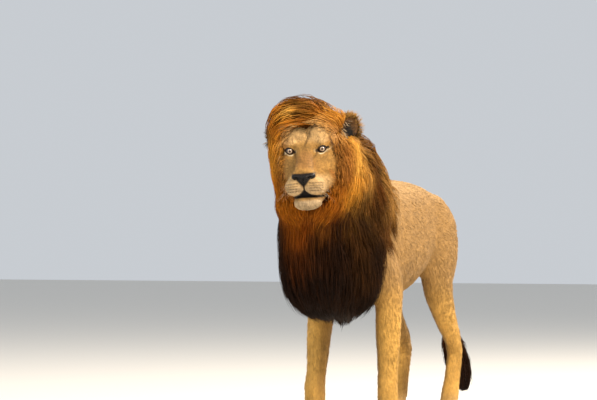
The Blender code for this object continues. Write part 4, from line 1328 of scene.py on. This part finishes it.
# a ball by angle from the axis of sight and angle round it, with the cornea raised on it
def buildEyes():
    material = eyeMaterial()
    away = np.concatenate((np.linspace(0, 0.75, 30), np.linspace(0.8, math.pi, 18)))
    theta, phi = np.meshgrid(away, np.linspace(0, 2 * math.pi, 72, endpoint=False), indexing="ij")
    index = np.arange(theta.size).reshape(theta.shape)
    theta, phi = theta.ravel(), phi.ravel()
    radius = eye["radius"] + eyeball["bulge"] * np.exp(-((theta / 0.42) ** 4))
    course = columns(np.sin(theta) * np.cos(phi), -np.cos(theta), np.sin(theta) * np.sin(phi))
    ball = course * radius[:, None]
    ahead = np.roll(index, -1, axis=1)
    quads = np.stack((index[1:-2], index[2:-1], ahead[2:-1], ahead[1:-2]), axis=-1).reshape(-1, 4)
    front = columns(index[0, 0], index[1], ahead[1])
    back = columns(index[-1, 0], ahead[-2], index[-2])
    caps = np.concatenate((front, back))
    used = np.unique(np.concatenate((quads.ravel(), caps.ravel())))
    renumber = np.zeros(index.size, int)
    renumber[used] = np.arange(len(used))
    faces, tint = [renumber[quads], renumber[caps]], eyeTint(theta, phi)[used]
    look = turnAbout("Z", eyeball["gaze"][0]) @ turnAbout("X", -eyeball["gaze"][1])
    for name, side in (("eye_left", 1), ("eye_right", -1)):
        points = fromHead(ball[used] @ look.T + np.array(eye["centre"]) * (side, 1, 1))
        piece = makeMesh("ball_" + name, points, faces, material, colours=tint)
        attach(piece, "root")
        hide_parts(name)


buildEyes()
print("eyes built")

nose = {"leather": "#0e0a08", "wornEdge": "#2c2019", "pebble": 0.0016, "spacing": 0.0015}


# Bare nose skin: dark, damp and finely pebbled, a little paler where it is worn.
def noseMaterial():
    material, tree, shader = blankMaterial("pebbledNoseSkin")
    place = addNode(tree, "TexCoord").outputs["Object"]
    pebble = {"Vector": place, "Scale": 1 / nose["pebble"]}
    pebbles = addNode(tree, "TexVoronoi", pebble, feature="SMOOTH_F1")
    worn = addNode(tree, "TexNoise", {"Vector": place, "Scale": 55.0, "Detail": 4.0})
    limits = {"Value": worn.outputs[0], "From Min": 0.5, "From Max": 0.75, "To Max": 0.6}
    share = addNode(tree, "MapRange", limits)
    both = {0: share.outputs[0], 6: linear(nose["leather"]), 7: linear(nose["wornEdge"])}
    colour = addNode(tree, "Mix", both, data_type="RGBA")
    bump = addNode(tree, "Bump", {"Height": pebbles.outputs[0], "Strength": 0.5, "Distance": 0.0008})
    bump.invert = True
    feed(tree, shader, {"Base Color": colour.outputs[2], "Normal": bump.outputs[0]})
    feed(tree, shader, {"Roughness": 0.42, "Specular IOR Level": 0.2})
    return material


# The leather: a blunt triangle of rounded lobes, with comma-shaped nostrils and a cleft below.
def buildNose():
    low, high = np.array((-0.062, -0.190, -0.168)), np.array((0.062, -0.100, -0.078))
    size = np.ceil((high - low) / nose["spacing"]).astype(int) + 1
    x, y, z = axes = axesOf((np.zeros(size, np.float32), low, nose["spacing"]))
    a = np.abs(x)
    mirrored = (a, y, z)
    form = eggField(mirrored, (0.027, -0.144, -0.1065), (0.0225, 0.0225, 0.0155))  # over each nostril
    for where, centre, radii, soft in (
        (mirrored, (0.010, -0.150, -0.1130), (0.0190, 0.0225, 0.0190), 0.006),
        (axes, (0, -0.151, -0.124), (0.0095, 0.0205, 0.0260), 0.005),
        (mirrored, (0.0385, -0.136, -0.1010), (0.0090, 0.0170, 0.0085), 0.006),
    ):
        form = smoothMin(form, eggField(where, centre, radii), soft)
    form = smoothMax(form, z + 0.0950 - 0.10 * a - 0.3 * np.maximum(y + 0.145, 0), 0.003)
    bore = rodField(mirrored, (0.0185, -0.176, -0.1150), (0.0270, -0.160, -0.1120), 0.0062)
    slit = rodField(mirrored, (0.0250, -0.170, -0.1120), (0.0430, -0.150, -0.1030), 0.0030)
    form = carve(form, smoothMin(slit, bore, 0.004), 0.0025)
    cleft = np.maximum(a - 0.0009, np.maximum(z + 0.112, y + 0.158))
    form = carve(form, cleft, 0.0025)
    points, faces = surfaceOf((form.astype(np.float32), low, nose["spacing"]))
    piece = makeMesh("noseLeather", fromHead(points), faces, noseMaterial())
    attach(piece, "root")
    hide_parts("nose")


buildNose()
print("nose built")


# Fur as tufts rooted on the skin: how many, length, width, thickness, how far the tips stand off
# it, how much the hairs stray from the lie, and a colour of their own where they have one.
fur = {
    "seed": 5,
    "candidates": 90000,  # places tried for the kinds with few tufts
    "kinds": {
        "face": (17500, 0.0125, 0.0020, 0.0009, 0.0014, 0.13, None),
        "bodyFront": (16500, 0.026, 0.0046, 0.0012, 0.0030, 0.10, None),
        "bodyBack": (17500, 0.026, 0.0046, 0.0012, 0.0030, 0.10, None),
        "chin": (700, 0.019, 0.0026, 0.0013, 0.0040, 0.20, None),
        "earRim": (1600, 0.034, 0.0030, 0.0015, 0.0080, 0.38, "#977038"),
        "earFront": (300, 0.034, 0.0026, 0.0014, 0.0090, 0.25, "#d9c3a0"),
    },
}


# the short coat lies back along the trunk, down the legs and the tail, and forward on the feet
def lieOfBody(points):
    _, y, z = (points - drawn).T
    down = np.maximum(fade(z, 0.58, 0.92), ease(y, 0.80, 1.00))
    foot = fade(z, 0.05, 0.11)[:, None]
    trunk = columns(0, 1 - 0.95 * down, -0.30 - 0.9 * down)
    return trunk * (1 - foot) + np.array((0, -1, -0.45)) * foot


# on the face it spreads from the nose, and on the chin and jaw it turns down
def lieOfFace(points):
    local = toHead(points)
    way = unit(local - np.array((0, -0.165, -0.085)))
    way[:, 1] += 0.25
    way[:, 2] -= 0.55 * fade(local[:, 2], -0.20, -0.06)
    ear = ease(local[:, 1], 0.10, 0.13)[:, None]
    way = way * (1 - ear) + unit(local - np.array((0, 0.15, 0.02))) * ear
    return way @ headAxes.T


# an unwrap of the skin's own shape in three islands: round the head, the trunk, and down the limbs
def unwrapSkin(points):
    hx, hy, hz = toHead(points).T
    x, y, z = (points - drawn).T
    lift = np.arctan2(hz + 0.06, np.hypot(hx, hy - 0.10)) / math.pi + 0.5
    onHead = columns(0.02 + 0.45 * roundShare(hx, -hy + 0.10), 0.52 + 0.45 * lift)
    length = np.clip((y + 0.6) / 1.7, 0, 1)
    onTrunk = columns(0.52 + 0.45 * roundShare(x, z - 0.82), 0.52 + 0.45 * length)
    limb = (x > 0) + 2 * (y > 0.35)
    middle = np.array(((-0.15, 0.0), (0.15, 0.0), (-0.15, 0.85), (0.15, 0.80)))[limb]
    turn = roundShare(x - middle[:, 0], y - middle[:, 1])
    onLimb = columns(0.02 + 0.24 * limb + 0.21 * turn, 0.02 + 0.45 * np.clip(z / 0.9, 0, 1))
    place = np.where((z > 0.62)[:, None], onTrunk, onLimb)
    return np.where(((hy < 0.24) & (hz > -0.32))[:, None], onHead, place)


# true where the short coat leaves the face bare: eyes, lips and nose
def bareFace(points, spare=0.0):
    x, y, z = toHead(points).T
    a = np.abs(x)
    cx, _, cz = eye["centre"]
    nearEye = (np.hypot(a - cx, z - cz) < 0.04) & (y < 0.04)
    bare = nearEye & (eyeOpening(a - cx, z - cz) < 0.0040 - spare)
    bare |= (mouthEdge(x, z) < 0.0020 - spare) & (a < 0.078) & (y < -0.015)
    return bare | (noseEdge(a, z) < 0.002 - spare) & (y < -0.125)


# where each kind of tuft grows, as a test of places in the head's frame and in the drawing's
def growsAt(kind, local, world, draw):
    x, y, z = local.T
    a = np.abs(x)
    if kind == "face":
        sparse = 0.35 + 0.65 * fade(np.hypot(x, y + 0.12), 0.04, 0.13)
        return (draw.random(len(x)) < sparse) & ~bareFace(fromHead(local)) & (y < 0.215)
    if kind == "chin":
        return (z < -0.214) & (y < -0.045)
    rim = np.hypot((a - 0.171) / 0.045, (z - 0.080) / 0.053)
    if kind == "earRim":
        return (rim > 0.66) & (a > 0.125) & (y > 0.12) & (z + 0.8 * (a - 0.16) > 0.055)
    if kind == "earFront":
        return (rim > 0.70) & (a < 0.150) & (y > 0.10) & (y < 0.17) & (z > 0.03) & (z < 0.12)
    onBody = (world[:, 2] > 0.004) & ~((y < 0.20) & (z > -0.29))
    return onBody & ((world[:, 1] < 0.33) == (kind == "bodyFront"))


# the way the hairs of the ears and the chin point, in the head's frame
def lieOfTrim(kind, local):
    x, _, z = local.T
    side = np.sign(x)
    if kind == "chin":
        return columns(0.3 * x / 0.05, -0.25, -1)
    if kind == "earFront":
        return columns(side, -0.2, -0.9 + 6 * (z - 0.07))
    return columns(x - side * 0.165, -0.012, z - 0.070)


# grows one kind of tuft over its part of the skin, and drops those that would be hidden
def growFur(kind):
    count, length, width, thickness, stand, stray, ownColour = fur["kinds"][kind]
    draw = np.random.default_rng(fur["seed"])
    onHead = not kind.startswith("body")
    field, (points, faces) = (faceFlesh, headMesh) if onHead else (bodyFlesh, bodyMesh)
    toField, turn = (toHead, headAxes) if onHead else (np.asarray, np.eye(3))
    roots = scatter(points, asTriangles(faces), max(count * 3, fur["candidates"]), draw)
    roots = roots[~(inBox(hairRoom, roots) & (fieldAt(hairRoom, roots) < -0.012))]
    roots = roots[growsAt(kind, toHead(roots), roots - drawn, draw)][:count]
    count = len(roots)
    local = toHead(roots)
    lengths = length * draw.uniform(0.7, 1.25, count)
    if kind == "face":
        lengths *= 0.55 + 1.1 * ease(np.hypot(local[:, 0], local[:, 1] + 0.12), 0.05, 0.17)
        way = lieOfFace(roots)
    elif onHead:
        way = lieOfTrim(kind, local) @ headAxes.T
    else:
        lengths *= 0.35 + 0.65 * ease(roots[:, 2], 0.05, 0.35)
        way = lieOfBody(roots)
    out = outwardAt(field, toField(roots)) @ turn.T
    free = 0.5 if kind.startswith("ear") else 1.0
    way = unit(flattened(unit(way) + draw.normal(0, stray, (count, 3)), out, free))
    stand = stand * draw.uniform(0.4, 1.3, count) * lengths / length
    path = [roots - out * 0.0012]
    for share, lift in ((0.5, 0.75), (1.0, 1.0)):
        place = roots + way * (lengths * share)[:, None]
        gap = stand * lift - fieldAt(field, toField(place))
        path.append(place + out * np.clip(gap, -0.004 * free, 0.006)[:, None])
    paths = np.stack(path, axis=1)
    if kind == "face":
        keep = ~bareFace(paths[:, -1], 0.001)
        paths, roots, lengths, out = paths[keep], roots[keep], lengths[keep], out[keep]
        count = len(roots)
    tint = coatTint(roots, out)
    inEye = onHead & (tint.mean(axis=1) < 0.02) & (toHead(roots)[:, 1] < 0.04)
    tint[inEye] = rgb(coat["face"])
    if ownColour:
        tint = tint * 0.2 + rgb(ownColour) * 0.8
    contrast = 0.17 if onHead else 0.07
    tone = draw.normal(1.0, contrast, (count, 1)).clip(0.6, 1.4)
    shades = lockShades(tint * (1 - contrast), tint * (1 + contrast), tone, 3)
    widths = width * draw.uniform(0.7, 1.3, count) * (lengths / length).clip(0.6, 1.2)
    if kind.startswith(("body", "face")):
        material = furMaterial("tuftFur_" + kind, 0.3)
    else:
        material = hairMaterial("tuftHair_" + kind, 0.62)
    form = (paths, np.repeat(out[:, None], 3, axis=1), widths, thickness)
    piece = lockPiece("tufts_" + kind, *form, material, unwrapSkin(roots), shades, width)
    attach(piece, "root")
    print("fur", kind, count)


for kind in fur["kinds"]:
    growFur(kind)
print("fur built")

brush = {
    "locks": 2300,
    "rings": 6,
    "length": 0.115,
    "width": 0.0048,
    "thickness": 0.0024,
    "rootDepth": -0.008,
    "coreDepth": -0.011,
    "pastTip": 0.055,  # how far the longest hairs reach past the solid's end
    "seed": 31,
}


# The dark brush at the end of the tail: locks from all over its core, drawn together at the tip.
def buildBrush():
    draw = np.random.default_rng(brush["seed"])
    low, high = (np.array(corner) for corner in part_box("tail_tuft"))
    low, high = low - 0.05, high + np.array((0.05, 0.05, 0.08))
    field = closedField(["tail", "tail_tuft"], low, high, 0.004, 0.045, 0.003)
    points, _ = nodeArrays(["tail_tuft"])
    sixth = len(points) // 6
    top, bottom = (points[np.argsort(up * points[:, 2])[:sixth]].mean(axis=0) for up in (-1, 1))
    axis, span = unit(bottom - top), np.linalg.norm(bottom - top)
    corePoints, coreFaces = surfaceOf(field, brush["coreDepth"])
    black = plain(hair["black"], len(corePoints))
    material = hairMaterial("deepTailHair", 0.8)
    core = makeMesh("brushCore", corePoints, coreFaces, material, colours=black)
    roots = scatterAt(field, brush["rootDepth"], brush["locks"] * 2, draw)
    roots = roots[roots[:, 2] < top[2] + 0.055][: brush["locks"]]
    count = len(roots)
    lengths = brush["length"] * draw.uniform(0.6, 1.2, count)
    left = (bottom - roots) @ axis + draw.uniform(0.0, brush["pastTip"], count)
    lengths = np.minimum(lengths, left).clip(0.02)
    stray = draw.normal(0, 0.12, (count, 3))
    tip = draw.normal(0.002, 0.004, count)

    def way(at):  # along the brush, and in towards its middle line near the end
        along = ((at - top) @ axis)[:, None]
        return axis + stray + (top + axis * along - at) * 14 * ease(along / span, 0.7, 1.1)

    rings = brush["rings"]
    paths, normals = combLocks(field, way, roots, lengths, rings, brush["rootDepth"], tip)
    share = ((roots - top) @ axis / span).clip(0, 1)[:, None]
    rootTint = rgb(hair["brown"]) + (rgb(hair["dark"]) - rgb(hair["brown"])) * ease(share, 0, 0.4)
    tone = draw.normal(1, 0.15, (count, 1))
    shades = lockShades(rootTint, plain(hair["black"], count), tone, rings)
    form = (paths, normals, brush["width"] * draw.uniform(0.6, 1.3, count), brush["thickness"])
    piece = lockPiece("tailBrush", *form, hairMaterial("tailHair"), unwrapSkin(roots), shades)
    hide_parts("tail_tuft")
    for each in (core, piece):
        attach(each, "root")


buildBrush()
print("tail brush built")


# Whiskers: stiff tapering hairs in four rows on each pad, swept out, back and down.
def buildWhiskers():
    draw = np.random.default_rng(whisker["seed"])
    row = np.tile(np.repeat(np.arange(whisker["rows"]), whisker["each"]), 2)
    column = np.tile(np.arange(whisker["each"]), 2 * whisker["rows"])
    count = len(row)
    side = np.repeat((-1, 1), count // 2)
    x = side * (0.030 + whisker["apart"] * column + 0.002 * row)
    z = whiskerRow(row, np.abs(x))
    ahead = np.linspace(-0.20, -0.03, 120)
    line = columns(x[:, None], ahead[None], z[:, None])
    inside = fieldAt(faceFlesh, line.reshape(-1, 3)).reshape(count, -1) < -0.001
    roots = columns(x, ahead[inside.argmax(axis=1)], z)
    start = columns(side * (0.80 + 0.1 * column), -0.15 + 0.10 * column, 0.02 - 0.12 * row)
    start = unit(start + draw.normal(0, 0.07, (count, 3)))[:, None]
    bend = np.array((0, 0.45, -0.45))
    t = np.linspace(0, 1, 9)[None, :, None]
    length = draw.uniform(*whisker["length"], (count, 1, 1))
    paths = fromHead(roots[:, None] + length * (start * t + bend * t * t))
    up = np.broadcast_to(headAxes[:, 2], paths.shape)
    material, tree, shader = blankMaterial("paleWhisker")  # stiff, smooth and pale
    feed(tree, shader, {"Base Color": linear(whisker["colour"]), "Roughness": 0.35})
    width = whisker["width"]
    unwrapped = unwrapSkin(fromHead(roots))
    piece = lockPiece("whiskers", paths, up, np.full(count, width), width, material, unwrapped)
    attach(piece, "root")


buildWhiskers()
print("whiskers built")
